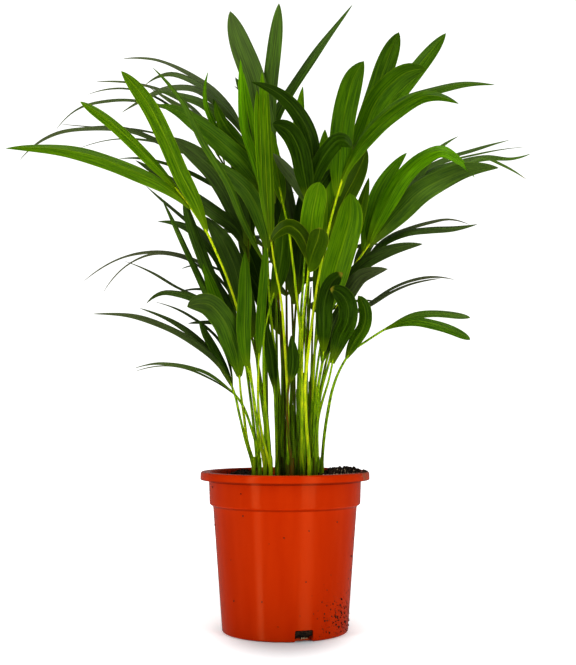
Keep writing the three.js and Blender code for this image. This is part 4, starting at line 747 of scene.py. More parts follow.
class Clearing:
    """Bends leaves that would cross clear of each other, in depth only, as the solids are."""

    across = 8.0
    depth = 5.5
    spacing = 8.0
    rounds = 90
    rate = 0.5
    near_root = 26.0
    probe_reach = 0.85
    least_half = 2.0

    def __init__(self, palms: list[GrownPalm]) -> None:
        """Spreads probes over every stalk and leaf.

        Args:
            palms: the plants, whose courses are bent by bend.
        """
        self.pieces: list[Stalk | Leaf] = []
        self.starts: dict[int, int] = {}
        self.probes: list[Probe] = []
        self.total = 0
        for number, palm in enumerate(palms):
            for piece in (*palm.stalks, *palm.leaves):
                self.pieces.append(piece)
                self.starts[id(piece)] = self.total
                self.total += len(piece.course.places)
                self._probe(piece, number)

    def _probe(self, piece: Stalk | Leaf, plant: int) -> None:
        """Adds the probes of one stalk or leaf."""
        course = piece.course
        count = max(2, math.floor(course.length / self.spacing + 0.5))
        for i in range(count + 1):
            s = i / count
            at = course.at(s)
            common = (piece, plant, s, s * course.length)
            self.probes.append(Probe(*common, at[0], at[1], 0.0))
            if isinstance(piece, Stalk) or piece.half(s) < self.least_half:
                continue
            side = piece.frame(s)[1]
            for edge in (-1, 1):
                reach = edge * piece.half(s) * self.probe_reach
                place = (at[0] + side[0] * reach, at[1] + side[2] * reach, side[1] * reach)
                self.probes.append(Probe(*common, *place))

    def _may_touch(self, a: Probe, b: Probe) -> bool:
        """Tells whether two probes may touch: on one piece, near a shared root, or at a stalk."""
        near = a.piece is b.piece or min(a.way, b.way) < self.near_root
        return a.plant == b.plant and (near or Stalk in (type(a.piece), type(b.piece)))

    def _close_pairs(self) -> list[tuple[int, int, float]]:
        """Finds the pairs of probes that lie close on the layout, and the gap each needs."""
        cells: dict[tuple[int, int], list[int]] = {}
        pairs = []
        for number, probe in enumerate(self.probes):
            column = math.floor(probe.across / self.across)
            row = math.floor(probe.up / self.across)
            for i in (column - 1, column, column + 1):
                for j in (row - 1, row, row + 1):
                    for other in cells.get((i, j), ()):
                        near = self.probes[other]
                        apart = math.hypot(probe.across - near.across, probe.up - near.up)
                        if apart < self.across and not self._may_touch(probe, near):
                            share = math.sqrt(1 - (apart / self.across) ** 2)
                            pairs.append((other, number, self.depth * share))
            cells.setdefault((column, row), []).append(number)
        return pairs

    def bend(self) -> None:
        """Moves the given places in depth until what would cross is clear."""
        rows, columns, shares, at, part, ends = [], [], [], [], [], []
        for number, probe in enumerate(self.probes):
            course, start = probe.piece.course, self.starts[id(probe.piece)]
            for i, share in enumerate(course.shares(probe.s)):
                rows.append(number)
                columns.append(start + i)
                shares.append(share)
            k, f = course.span(probe.s)
            for point, share in ((k, 1 - f), (k + 1, f)):
                if point >= probe.piece.fixed:
                    at.append(start + point)
                    part.append(share)
                    ends.append(number)
        rows, columns, shares = np.array(rows), np.array(columns), np.array(shares)
        at, part, ends = np.array(at), np.array(part), np.array(ends)
        behind = np.array([probe.behind for probe in self.probes])
        first, second, gap = (np.array(column) for column in zip(*self._close_pairs()))
        depth = np.concatenate([piece.course.places[:, 2] for piece in self.pieces])
        roots = []
        for leaf in self.pieces:
            if isinstance(leaf, Leaf):
                mix = leaf.stalk.course.shares(leaf.root_at)
                roots.append((self.starts[id(leaf)], self.starts[id(leaf.stalk)], mix))
        count = len(self.probes)
        for _ in range(self.rounds):
            found = np.bincount(rows, shares * depth[columns], count) + behind
            ahead = found[first] < found[second]
            lap = gap - np.abs(found[first] - found[second])
            hit = lap > 0
            push = np.where(ahead, -lap, lap) / 2 * hit
            sums = np.bincount(first, push, count) - np.bincount(second, push, count)
            hits = np.bincount(first, hit, count) + np.bincount(second, hit, count)
            total = np.bincount(at, part * sums[ends], self.total)
            weight = np.bincount(at, part * hits[ends], self.total)
            depth = depth + self.rate * 2 * total / np.maximum(weight, 1)
            for leaf_at, stalk_at, mix in roots:
                depth[leaf_at] = mix @ depth[stalk_at : stalk_at + len(mix)]
        for piece in self.pieces:
            start = self.starts[id(piece)]
            piece.course.places[:, 2] = depth[start : start + len(piece.course.places)]


# ---------- meshes


class Skin:
    """Gathers points, faces and attributes, and makes one mesh object of them."""

    def __init__(self, *vectors: str) -> None:
        """Starts an empty skin.

        Args:
            vectors: names of the attributes that each point carries, three numbers each.
        """
        self.points: list[np.ndarray] = []
        self.faces: list[tuple[int, ...]] = []
        self.under: list[float] = []
        self.vectors: dict[str, list[np.ndarray]] = {name: [] for name in vectors}
        self.count = 0

    def add(self, points: np.ndarray, **vectors: np.ndarray) -> int:
        """Adds points in millimetres with their attributes, and returns the first one's number."""
        start = self.count
        self.points.append(points)
        for name, rows in self.vectors.items():
            rows.append(vectors[name])
        self.count += len(points)
        return start

    def face(self, *corners: int, under: float = 0.0) -> None:
        """Adds one face, which may lie on the underside of a leaf."""
        self.faces.append(corners)
        self.under.append(under)

    def join(self, loops: list[list[int]]) -> None:
        """Closes the wall between loops of points, each of which ends where it starts."""
        for low, high in zip(loops, loops[1:]):
            for corners in zip(low, low[1:], high[1:], high):
                self.face(*dict.fromkeys(corners))

    def piece(self, name: str, material: Material, crease: float) -> Object:
        """Makes the mesh object, with its faces turned out and smooth but for its creases.

        Args:
            name: the piece's name.
            material: its only material.
            crease: the angle in degrees above which an edge stays sharp.

        Returns:
            The object, linked to the scene.
        """
        mesh = bpy.data.meshes.new(name)
        mesh.from_pydata((np.concatenate(self.points) * MM).tolist(), [], self.faces)
        for key, rows in self.vectors.items():
            layer = mesh.attributes.new(key, "FLOAT_VECTOR", "POINT")
            layer.data.foreach_set("vector", np.concatenate(rows).astype(np.float32).ravel())
        if any(self.under):
            layer = mesh.attributes.new(Shade.UNDER.value, "FLOAT", "FACE")
            layer.data.foreach_set("value", np.array(self.under, dtype=np.float32))
        mesh.validate()
        mesh.materials.append(material)
        work = bmesh.new()
        work.from_mesh(mesh)
        bmesh.ops.recalc_face_normals(work, faces=work.faces)
        work.to_mesh(mesh)
        work.free()
        smooth(mesh, crease)
        return linked(name, mesh)


def smooth(mesh: bpy.types.Mesh, crease: float) -> None:
    """Shades a mesh smooth but for the edges that are sharper than a crease in degrees."""
    mesh.shade_smooth()
    mesh.set_sharp_from_angle(angle=math.radians(crease))


def linked(name: str, data: bpy.types.ID) -> Object:
    """Puts a mesh, a light or a camera into the scene, and returns its object."""
    thing = bpy.data.objects.new(name, data)
    bpy.context.scene.collection.objects.link(thing)
    return thing


def dress(piece: Object, slot: str, *nodes: str) -> None:
    """Fastens a piece to the body, and lets it stand for CAD nodes, which it hides."""
    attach(piece, BODY)
    if nodes:
        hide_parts(*nodes)
    LOG.info("%s: %d faces", piece.name, len(piece.data.polygons))


# ---------- materials


def linear(colour: str) -> tuple[float, float, float, float]:
    """Turns an sRGB hex colour into linear RGBA."""
    parts = [int(colour[i : i + 2], 16) / 255 for i in (1, 3, 5)]
    curved = [c / 12.92 if c <= 0.04045 else ((c + 0.055) / 1.055) ** 2.4 for c in parts]
    return (*curved, 1.0)


Owner = Material | bpy.types.World
Value = float | int | str | tuple | bpy.types.NodeSocket | bpy.types.Node
Stops = tuple[tuple[float, str], ...]


def node(
    owner: Owner,
    kind: str,
    inputs: dict[str | int, Value] | tuple[Value, ...] = (),
    stops: Stops = (),
    **settings: Value,
) -> bpy.types.Node:
    """Adds a node with its settings, values and links.

    Args:
        owner: the material or world whose nodes it joins.
        kind: the kind of node, without the word ShaderNode.
        inputs: what goes into each named input, or into the first ones in their order: a value,
            an sRGB hex colour, a socket, or a node, which stands for its first output in use.
        stops: the places and sRGB colours of a colour ramp.
        settings: properties of the node itself.

    Returns:
        The new node.
    """
    tree = owner.node_tree
    made = tree.nodes.new("ShaderNode" + kind)
    for name, value in settings.items():
        setattr(made, name, value)
    for key, value in inputs.items() if isinstance(inputs, dict) else enumerate(inputs):
        if isinstance(value, bpy.types.Node):
            value = next(output for output in value.outputs if output.enabled)
        if isinstance(value, bpy.types.NodeSocket):
            tree.links.new(value, made.inputs[key])
        else:
            made.inputs[key].default_value = linear(value) if isinstance(value, str) else value
    if stops:
        elements = made.color_ramp.elements
        for i, (place, colour) in enumerate(stops):
            stop = elements[i] if i < len(elements) else elements.new(place)
            stop.position = place
            stop.color = linear(colour)
    return made


def blank(owner: Owner) -> Owner:
    """Returns a new material or world with its nodes cleared away."""
    owner.use_nodes = True
    owner.node_tree.nodes.clear()
    return owner


class Shade(Enum):
    """The names of what each point or face of a plant carries for its finish."""

    STRAND = "strand"
    LOOK = "look"
    UNDER = "under"
    RIM = "rim"
    STEM = "stem"


@dataclass(frozen=True)
class LeafFinish:
    """A living palm leaflet: a waxy, ribbed blade that lets some light through.

    The wax gives a soft broad highlight that runs along the ribs, the veins show as fine lengthwise
    streaks, and light from behind makes the blade glow yellow-green.
    """

    name: str
    dark: str
    light: str
    vein: str
    glow: str
    see_through: float = 0.3
    roughness: float = 0.36
    rib_spacing: float = 1.15
    bump: float = 0.35

    def material(self) -> Material:
        """Builds the material."""
        m = blank(bpy.data.materials.new(self.name))
        strand, look, margin = (
            node(m, "SeparateXYZ", (node(m, "Attribute", attribute_name=name).outputs["Vector"],))
            for name in (Shade.STRAND.value, Shade.LOOK.value, Shade.RIM.value)
        )
        across, share, shade = strand.outputs
        stain, grey_wax_and_sheen, along = look.outputs
        # Streaks are about a rib wide and run some 40 mm.
        run = node(m, "CombineXYZ", (
            node(m, "Math", (across, 0.9), operation="MULTIPLY"),
            node(m, "Math", (along, 0.025), operation="MULTIPLY"),
        ))
        streak = node(m, "TexNoise", {"Vector": run, "Scale": 1.0, "Detail": 3.0, "Roughness": 0.6})
        tone = node(m, "ValToRGB", (streak,), stops=((0.4, self.dark), (0.6, self.light)))
        # Leaflets differ in brightness, partly by age and partly as painted light and shade: each
        # leaf is set darker where it lies in shade and brighter where it is lit.
        lift = node(m, "MapRange", (shade, -2.0, 5.0, 0.125, 3.1875))
        colour = node(m, "HueSaturation", {"Color": tone, "Value": lift})
        # Ribs: thin pale lines a little over a millimetre apart.
        turn = node(m, "Math", (across, 2 * math.pi / self.rib_spacing), operation="MULTIPLY")
        wave = node(m, "Math", (turn,), operation="COSINE")
        crest = node(m, "Math", (wave, 0.0), operation="MAXIMUM")
        rib = node(m, "Math", (crest, 4.0), operation="POWER")
        ribbed = node(m, "Math", (rib, 0.2), operation="MULTIPLY")
        # The midrib is a pale line 0.8 mm wide, and the margin a thin pale line too: a painted
        # highlight along the edge.
        from_rib = node(m, "Math", (across,), operation="ABSOLUTE")
        midrib = node(m, "MapRange", (from_rib, 0.25, 0.65, 0.3, 0.0))
        edge = node(m, "MapRange", (margin.outputs[0], 0.2, 0.7, 0.4, 0.0))
        # The blade is yellower where it joins the stalk, and its underside is paler and greyer.
        young = node(m, "MapRange", (share, 0.0, 0.18, 0.6, 0.0))
        under = node(m, "Attribute", attribute_name=Shade.UNDER.value).outputs["Fac"]
        below = node(m, "Math", (under, 0.4), operation="MULTIPLY")
        # Grey is painted on the blades in soft patches, most on the old thin ones at the back
        # and toward the tips: partly wax bloom and partly painted sheen where the blades catch
        # light.
        patchy = node(m, "MapRange", (streak, 0.0, 1.0, 0.6, 1.3))
        bloom_and_sheen = node(m, "Math", (grey_wax_and_sheen, patchy), operation="MULTIPLY", use_clamp=True)
        # Old leaves dry at the tip, first yellow and then brown, with a ragged border.
        fray = node(m, "TexNoise", {"Vector": run, "Scale": 2.6})
        ragged = node(m, "MapRange", (fray, 0.0, 1.0, -0.02, 0.02))
        tipward = node(m, "Math", (share, stain), operation="ADD")
        reach = node(m, "Math", (tipward, ragged), operation="ADD")
        dry = node(m, "MapRange", (reach, 0.965, 1.0))
        crisp = node(m, "MapRange", (reach, 0.99, 1.03))
        for part, over in (
            (ribbed, self.vein), (midrib, self.vein), (edge, self.vein), (young, "#7a9404"),
            (below, "#56741a"), (bloom_and_sheen, "#7d7a62"), (dry, "#8f8a24"), (crisp, "#6b3d14"),
        ):
            colour = node(m, "Mix", {0: part, 6: colour, 7: over}, data_type="RGBA")
        # Fine cells and ribs together break the highlight up along the blade.
        cells = node(m, "TexNoise", {"Vector": run, "Scale": 2.2, "Detail": 3.0})
        height = node(m, "Math", (rib, cells), operation="ADD")
        bump = node(m, "Bump", {"Strength": self.bump, "Distance": 0.00012, "Height": height})
        rough = node(m, "MapRange", (cells, 0.0, 1.0, self.roughness - 0.06, self.roughness + 0.1))
        wax_and_sheen = node(m, "BsdfPrincipled", {
            "Base Color": colour, "Roughness": rough, "IOR": 1.42, "Specular IOR Level": 0.2,
            "Specular Tint": "#dcf0b0", "Normal": bump,
        })
        lit = node(m, "Mix", {0: 0.55, 6: colour, 7: self.glow}, data_type="RGBA")
        glow = node(m, "BsdfTranslucent", {"Color": lit, "Normal": bump})
        node(m, "OutputMaterial", (node(m, "MixShader", (self.see_through, wax_and_sheen, glow)),))
        return m


@dataclass(frozen=True)
class StalkFinish:
    """A smooth living leaf stalk, yellow at the foot and green above, with dark scurfy dots."""

    name: str = "living_palm_stalk"
    roughness: float = 0.34
    dot_spacing: float = 2.4

    def material(self) -> Material:
        """Builds the material."""
        m = blank(bpy.data.materials.new(self.name))
        stem = node(m, "Attribute", attribute_name=Shade.STEM.value).outputs["Vector"]
        up, ripe, along = node(m, "SeparateXYZ", (stem,)).outputs
        place = node(m, "TexCoord").outputs["Object"]
        # Fibres run up the stalk, and show as faint lengthwise streaks.
        long_way = node(m, "VectorMath", (place, (900.0, 900.0, 28.0)), operation="MULTIPLY")
        fibre = node(m, "TexNoise", {"Vector": long_way, "Scale": 1.0, "Detail": 3.0})
        by_height = node(m, "MapRange", (up, 0.0, 1.0, -0.05, 0.05))
        by_fibre = node(m, "MapRange", (fibre, 0.0, 1.0, -0.8, 0.8))
        age = node(m, "Math", (ripe, by_height), operation="ADD")
        mixed = node(m, "Math", (age, by_fibre), operation="ADD", use_clamp=True)
        tone = node(m, "ValToRGB", (mixed,), stops=(
            (0.0, "#c6d01a"), (0.22, "#9cba08"), (0.45, "#6f9a02"), (0.66, "#465e02"),
            (0.84, "#504c08"), (1.0, "#6b480e"),
        ))
        # Scurf is a scatter of dark dots, half a millimetre across and more.
        dots = node(m, "TexVoronoi", {"Vector": place, "Scale": 1000 / self.dot_spacing})
        scurf = node(m, "MapRange", (dots, 0.1, 0.2, 0.55, 0.0))
        dotted = node(m, "Mix", {0: scurf, 6: tone, 7: "#2c2408"}, data_type="RGBA")
        # The lowest centimetre is stained brown by the damp compost.
        damp = node(m, "MapRange", (along, 22.0, 34.0, 0.6, 0.0))
        stained = node(m, "Mix", {0: damp, 6: dotted, 7: "#4a3012"}, data_type="RGBA")
        bump = node(m, "Bump", {"Strength": 0.3, "Distance": 0.0003, "Height": fibre})
        skin = node(m, "BsdfPrincipled", {
            "Base Color": stained, "Roughness": self.roughness, "IOR": 1.42,
            "Specular IOR Level": 0.22, "Specular Tint": "#ecf0b4", "Normal": bump,
        })
        glow = node(m, "BsdfTranslucent", {"Color": stained})
        node(m, "OutputMaterial", (node(m, "MixShader", (0.05, skin, glow)),))
        return m


@dataclass(frozen=True)
class PotFinish:
    """Injection-moulded polypropylene: satin, evenly dyed terracotta, with a soft broad highlight.

    The mould leaves faint flow marks, handling leaves dull scuffs, and watering leaves dust.
    A dark line of painted shade lies in each fold, under the rim and under the shoulder, where
    shadow falls; each has its height, its half width and how dark it is.
    """

    name: str = "moulded_polypropylene"
    colour: str = "#b53000"
    flow: str = "#bb3400"
    dust: str = "#8a5a40"
    roughness: float = 0.19
    folds: tuple[Triple, ...] = ((0.1484, 0.0014, 0.5), (0.1232, 0.0009, 0.35))

    def material(self) -> Material:
        """Builds the material."""
        m = blank(bpy.data.materials.new(self.name))
        place = node(m, "TexCoord").outputs["Object"]
        # Flow marks are tall soft bands some 12 mm wide.
        tall = node(m, "VectorMath", (place, (85.0, 85.0, 9.0)), operation="MULTIPLY")
        flow = node(m, "TexNoise", {"Vector": tall, "Scale": 1.0})
        colour = node(m, "ValToRGB", (flow,), stops=((0.3, self.colour), (0.7, self.flow)))
        # Scuffs are hair-thin, level and slanting.
        level = node(m, "VectorMath", (place, (260.0, 260.0, 2400.0)), operation="MULTIPLY")
        scuff = node(m, "TexNoise", {
            "Vector": level, "Scale": 1.0, "Detail": 5.0, "Roughness": 0.7,
        })
        worn = node(m, "MapRange", (scuff, 0.62, 0.8, 0.0, 0.16))
        # Dust lies on the rim's shoulder at the right, in patches of about 5 mm.
        near = node(m, "VectorMath", (place, (0.077, -0.030, 0.157)), operation="DISTANCE")
        patch = node(m, "TexNoise", {
            "Vector": place, "Scale": 210.0, "Detail": 4.0, "Roughness": 0.65,
        })
        spread = node(m, "MapRange", (near, 0.004, 0.022, 0.3, -0.12))
        thick = node(m, "Math", (spread, patch), operation="ADD")
        grime = node(m, "MapRange", (thick, 0.62, 0.82, 0.0, 0.75))
        # A few specks of compost dust, about half a millimetre across, cling all over.
        grit = node(m, "TexVoronoi", {"Vector": place, "Scale": 130.0})
        speck = node(m, "MapRange", (grit, 0.02, 0.035, 0.7, 0.0))
        # Painted shade: a dark line lies in the folds under the rim and under the shoulder, where
        # shadow falls.
        height = node(m, "SeparateXYZ", (place,)).outputs[2]
        lines = []
        for fold, width, depth in self.folds:
            line = node(m, "Math", (height, fold, width), operation="COMPARE")
            lines.append(node(m, "MapRange", (line, 0.0, 1.0, 0.0, depth)))
        fold_shade = node(m, "Math", tuple(lines), operation="MAXIMUM")
        for part, over in (
            (worn, "#d9653c"), (grime, self.dust), (speck, "#5a2410"), (fold_shade, "#4a0e02")
        ):
            colour = node(m, "Mix", {0: part, 6: colour, 7: over}, data_type="RGBA")
        grain = node(m, "TexNoise", {"Vector": place, "Scale": 1400.0, "Detail": 3.0})
        dull = node(m, "Math", (grime, flow), operation="ADD")
        rough = node(m, "MapRange", (dull, 0.3, 1.3, self.roughness - 0.04, self.roughness + 0.22))
        bump = node(m, "Bump", {"Strength": 0.12, "Distance": 0.0002, "Height": grain})
        plastic = node(m, "BsdfPrincipled", {
            "Base Color": colour, "Roughness": rough, "IOR": 1.49, "Specular IOR Level": 0.23,
            "Specular Tint": "#ffb478", "Normal": bump,
        })
        node(m, "OutputMaterial", (plastic,))
        return m


@dataclass(frozen=True)
class CompostFinish:
    """Damp peat and bark compost: nearly black, matt, with crumbs, fibres and paler grains."""

    name: str
    stops: Stops
    grain: float = 1.2
    bump: float = 0.9

    def material(self) -> Material:
        """Builds the material."""
        m = blank(bpy.data.materials.new(self.name))
        place = node(m, "TexCoord").outputs["Object"]
        crumbs = node(m, "TexVoronoi", {
            "Vector": place, "Scale": 1000 / self.grain, "Detail": 2.0,
        })
        soft = node(m, "TexNoise", {
            "Vector": place, "Scale": 1000 / (4 * self.grain), "Detail": 6.0, "Roughness": 0.7,
        })
        kind = node(m, "SeparateColor", (crumbs.outputs["Color"],))
        mixed = node(m, "Math", (
            node(m, "Math", (kind, 0.6), operation="MULTIPLY"),
            node(m, "Math", (soft, 0.4), operation="MULTIPLY"),
        ), operation="ADD")
        tone = node(m, "ValToRGB", (mixed,), stops=self.stops)
        height = node(m, "Math", (soft, crumbs), operation="SUBTRACT")
        bump = node(m, "Bump", {"Strength": self.bump, "Distance": 0.0008, "Height": height})
        peat = node(m, "BsdfPrincipled", {
            "Base Color": tone, "Roughness": 0.88, "IOR": 1.4, "Normal": bump,
        })
        node(m, "OutputMaterial", (peat,))
        return m


@dataclass(frozen=True)
class FloorFinish:
    """White acrylic that glows like a product table lit from below, so that shadows stay pale.

    The glow grows away from the pot. An oval patch under the pot, longer to the front than to
    the sides, glows less and takes a cooler colour that offsets the pot's red bounce light: a
    painted shadow.
    """

    name: str = "lit_white_acrylic"
    colour: str = "#f4f4f4"
    unlit_colour: str = "#ecf8fc"
    near_glow: float = 0.55
    far_glow: float = 1.0
    patch: Pair = (0.088, 0.19)

    def material(self) -> Material:
        """Builds the material."""
        m = blank(bpy.data.materials.new(self.name))
        place = node(m, "TexCoord").outputs["Object"]
        tooth = node(m, "TexNoise", {"Vector": place, "Scale": 900.0})
        bump = node(m, "Bump", {"Strength": 0.05, "Distance": 0.0002, "Height": tooth})
        # Painted shadow: the oval patch under the pot glows less and takes the cooler unlit colour.
        squeeze = (1 / self.patch[0], 1 / self.patch[1], 1.0)
        oval = node(m, "VectorMath", (place, squeeze), operation="MULTIPLY")
        from_patch = node(m, "VectorMath", (oval,), operation="LENGTH")
        lit = node(m, "MapRange", (from_patch, 0.3, 1.0), interpolation_type="SMOOTHSTEP")
        sheet = node(m, "Mix", {0: lit, 6: self.unlit_colour, 7: self.colour}, data_type="RGBA")
        away = node(m, "VectorMath", (place,), operation="LENGTH")
        glow = node(m, "MapRange", (away, 0.25, 0.8, self.near_glow, self.far_glow))
        shown = node(m, "Math", (lit, glow), operation="MULTIPLY")
        acrylic = node(m, "BsdfPrincipled", {
            "Base Color": sheet, "Roughness": 0.95, "Specular IOR Level": 0.1,
            "Emission Color": "#ffffff", "Emission Strength": shown, "Normal": bump,
        })
        node(m, "OutputMaterial", (acrylic,))
        return m


# ---------- dressed palms


@dataclass
class LeafSkin:
    """The fine surface of one leaf: a closed thin shell, folded, ribbed and rippled."""

    leaf: Leaf
    shade: Pair
    wax_and_sheen: float
    stain: float
    dice: random.Random
    row_spacing: float = 5.0
    rows: tuple[int, int] = (14, 46)
    column_spacing: float = 1.7
    columns: tuple[int, int] = (6, 18)
    thickness: float = 0.6
    pleat: float = 0.16
    midrib: float = 0.32
    ripple: float = 0.35
    ripple_length: float = 11.0
    sway: float = 0.22
    sway_length: float = 23.0

    def _stations(self) -> np.ndarray:
        """Returns the places of the rows along the leaf, closer together at its ends."""
        rows = round(self.leaf.course.length / self.row_spacing)
        even = np.linspace(0, 1, held(rows, self.rows) + 1)[:-1]
        return 0.6 * even + 0.4 * (0.5 - 0.5 * np.cos(math.pi * even))

    def add_to(self, skin: Skin) -> None:
        """Adds the leaf to a plant's skin.

        Args:
            skin: the skin that gathers the plant's leaves.
        """
        leaf, dice = self.leaf, self.dice
        length = leaf.course.length
        count = held(2 * round(leaf.width / self.column_spacing / 2), self.columns)
        t = np.linspace(-1, 1, count + 1)
        out = np.abs(t)
        across = t * leaf.width / 2
        pleats = np.where(np.arange(count + 1) % 2 == 0, 0.5, -0.5) * self.pleat
        pleats[0] = pleats[-1] = 0
        spine = np.exp(-(across**2) / 0.5) * self.midrib
        wave, swing, begin = (dice.uniform(0, most) for most in (math.tau, math.tau, 900))
        root, tip = self.shade
        starts = []
        for s in self._stations():
            middle, side, face = leaf.frame(float(s))
            half = leaf.half(float(s))
            body = min(half / 4, 1)
            at = s * length
            crimp = np.sin(at / self.ripple_length + wave + np.sign(t) * 0.8)
            ripple = self.ripple * body * out**3 * crimp
            sway = self.sway * body * math.sin(at / self.sway_length + swing)
            lift = -2 * half * leaf.fold * out**1.25 + (pleats * body + ripple + sway * (1 - out))
            thick = self.thickness * (1 - out**2.2) * (0.55 + 0.45 * body) / 2
            line = middle + np.outer(t * half, side)
            top = line + np.outer(lift + thick + spine * body, face)
            low = line + np.outer(lift - thick - 0.6 * spine * body, face)
            starts.append(skin.add(
                np.vstack((top, low[1:-1])),
                strand=self._carried(count, across, s, root + (tip - root) * s),
                # The painted grey, partly wax bloom and partly painted sheen, grows toward the tip.
                look=self._carried(count, self.stain, self.wax_and_sheen * (0.2 + 0.7 * s), begin + at),
                rim=self._carried(count, (1 - out) * leaf.width / 2, 0, 0),
            ))
        end = skin.add(
            VIEW.placed(leaf.course.at(1.0))[None, :],
            strand=np.array([[0, 1, tip]]),
            look=np.array([[self.stain, self.wax_and_sheen, begin + length]]),
            rim=np.zeros((1, 3)),
        )
        self._close(skin, starts, end, count)

    @staticmethod
    def _carried(count: int, *values: np.ndarray | float) -> np.ndarray:
        """Returns what each point of a row carries: those on its upper face, then the others."""
        upper = np.column_stack([np.broadcast_to(value, count + 1) for value in values])
        return np.vstack((upper, upper[1:-1]))

    @staticmethod
    def _close(skin: Skin, starts: list[int], tip: int, count: int) -> None:
        """Joins the rows into a closed shell.

        Args:
            skin: the skin that gathers the plant's leaves.
            starts: the first point of each row.
            tip: the point at the leaf's tip.
            count: the number of columns.
        """
        low = [i if i in (0, count) else count + i for i in range(count + 1)]
        for a, b in zip(starts, starts[1:]):
            for i in range(count):
                skin.face(a + i, a + i + 1, b + i + 1, b + i)
                skin.face(a + low[i], b + low[i], b + low[i + 1], a + low[i + 1], under=1.0)
        first, last = starts[0], starts[-1]
        for i in range(count):
            skin.face(last + i, last + i + 1, tip)
            skin.face(last + low[i + 1], last + low[i], tip, under=1.0)
        skin.face(*(first + i for i in range(count, -1, -1)), *(first + i for i in low[1:-1]))


def held(number: int, limits: tuple[int, int]) -> int:
    """Returns a number, or the limit that it passes."""
    return min(max(number, limits[0]), limits[1])


@dataclass
class DressedPalm:
    """One plant in its fine form: its leaves in one piece and its stalks in another."""

    palm: GrownPalm
    sides: int = 10
    ring_spacing: float = 4.0
    sheath_below: float = 27.0
    sheath_above: float = 24.0
    sheath_straight: float = 12.0
    sheath_radius: float = 2.3
    sheath_top: float = 1.8
    slimness: float = 0.88
    knot: float = 0.05
    knot_spacing: float = 17.0
    swell: float = 0.3
    swell_height: float = 70.0
    ripening: float = 130.0
    stub_radius: float = 1.5
    stub_taper: float = 0.6
    leaf_crease: float = 60.0
    stalk_crease: float = 50.0

    def build(self, leaf: Material, stalk: Material) -> None:
        """Builds and dresses the plant.

        Args:
            leaf: the material of its leaves.
            stalk: the material of its stalks.
        """
        plan = self.palm.plan
        dice = random.Random(zlib.crc32(plan.name.encode()))
        leaves = Skin(Shade.STRAND.value, Shade.LOOK.value, Shade.RIM.value)
        for grown in self.palm.leaves:
            root, tip, wax_and_sheen = grown.blade.look or (
                dice.uniform(-0.9, -0.3), dice.uniform(-0.4, 0.6), dice.uniform(0.1, 0.4)
            )
            stain, dry = dice.uniform(-0.12, -0.04), grown.blade.dry
            LeafSkin(grown, (root, tip), wax_and_sheen, stain if dry is None else dry, dice).add_to(leaves)
        stalks = Skin(Shade.STEM.value)
        for piece in self.palm.stalks:
            self._stalk(stalks, piece, dice)
        for stub in plan.stubs:
            self._stub(stalks, *stub)
        self._sheath(stalks)
        blades = leaves.piece(plan.name + "_leaves", leaf, self.leaf_crease)
        stems = stalks.piece(plan.name + "_stalks", stalk, self.stalk_crease)
        for piece in (blades, stems):
            dress(piece, plan.tone.value, plan.name)

    def _stalk(self, skin: Skin, stalk: Stalk, dice: random.Random) -> None:
        """Adds one stalk: a slim tube that swells a little at its foot and at its knots.

        Args:
            skin: the skin that gathers the plant's stalks.
            stalk: the stalk.
            dice: the plant's source of chance.
        """
        foot, top = self.palm.plan.ripeness
        length = stalk.course.length
        phase = dice.uniform(0, math.tau)
        ripe_by = dice.uniform(-0.14, 0.14)
        rings = []
        for s in np.linspace(0, 1, max(int(length / self.ring_spacing), 8) + 1):
            at = s * length
            middle = VIEW.placed(stalk.course.at(float(s)))
            knot = 1 + self.knot * math.sin(at / self.knot_spacing + phase)
            swell = self.swell * math.exp(-s * length / self.swell_height)
            radius = self.slimness * stalk.radius(s) * knot + swell
            ripe = foot + (top - foot) * min(at / self.ripening, 1) + ripe_by
            rings.append((middle, radius * (1.0 if s < 0.995 else 0.55), (s, ripe, at)))
        self._tube(skin, rings)

    def _stub(self, skin: Skin, aside: float, lean: float, rise: float, ripe: float) -> None:
        """Adds the stub of an old stalk, thin and cut off short.

        Args:
            skin: the skin that gathers the plant's stalks.
            aside: how far its foot stands to the right of the plant.
            lean: how far its top stands to the right of its foot.
            rise: how high it stands over the compost.
            ripe: how ripe it is.
        """
        x, y = self.palm.plan.base
        rings = []
        for f in np.linspace(0, 1, 16):
            side = aside + lean * f**1.4 + 0.5 * math.sin(5 * f + lean)
            middle = np.array((x + side, y + 1.5 * f, COMPOST_LEVEL - 4 + (rise + 4) * f))
            radius = (self.stub_radius - self.stub_taper * f) * (1.0 if f < 0.99 else 0.6)
            rings.append((middle, radius, (f, ripe, 12 + rise * f)))
        self._tube(skin, rings)

    def _sheath(self, skin: Skin) -> None:
        """Adds the sheath, the short thick foot that all stalks of the plant rise from."""
        rings = []
        for rise in np.linspace(-self.sheath_below, self.sheath_above, 14):
            middle = np.array((*self.palm.plan.base, COMPOST_LEVEL + rise))
            straight = self.sheath_straight
            above = max((rise - straight) / (self.sheath_above - straight), 0)
            radius = self.sheath_radius + (self.sheath_top - self.sheath_radius) * above
            rings.append((middle, radius, (0.0, self.palm.plan.ripeness[0] + 0.08, rise + 21)))
        self._tube(skin, rings)

    def _tube(self, skin: Skin, rings: list[tuple[np.ndarray, float, Triple]]) -> None:
        """Adds a closed tube.

        Args:
            skin: the skin that gathers the plant's stalks.
            rings: the middle and radius of each ring, and what its points carry.
        """
        n = self.sides
        turns = np.linspace(0, math.tau, n, endpoint=False)
        loops = []
        for i, (middle, radius, stem) in enumerate(rings):
            along = unit(rings[min(i + 1, len(rings) - 1)][0] - rings[max(i - 1, 0)][0])
            across = unit(np.array((1.0, 0, 0)) - along * along[0])
            back = np.cross(along, across)
            circle = np.outer(np.cos(turns), across) + np.outer(np.sin(turns), back)
            start = skin.add(middle + radius * circle, stem=np.tile(stem, (n, 1)))
            loops.append([start + k % n for k in range(n + 1)])
        skin.join(loops)
        skin.face(*loops[0][-2::-1])
        skin.face(*loops[-1][:-1])


# ---------- pot and compost


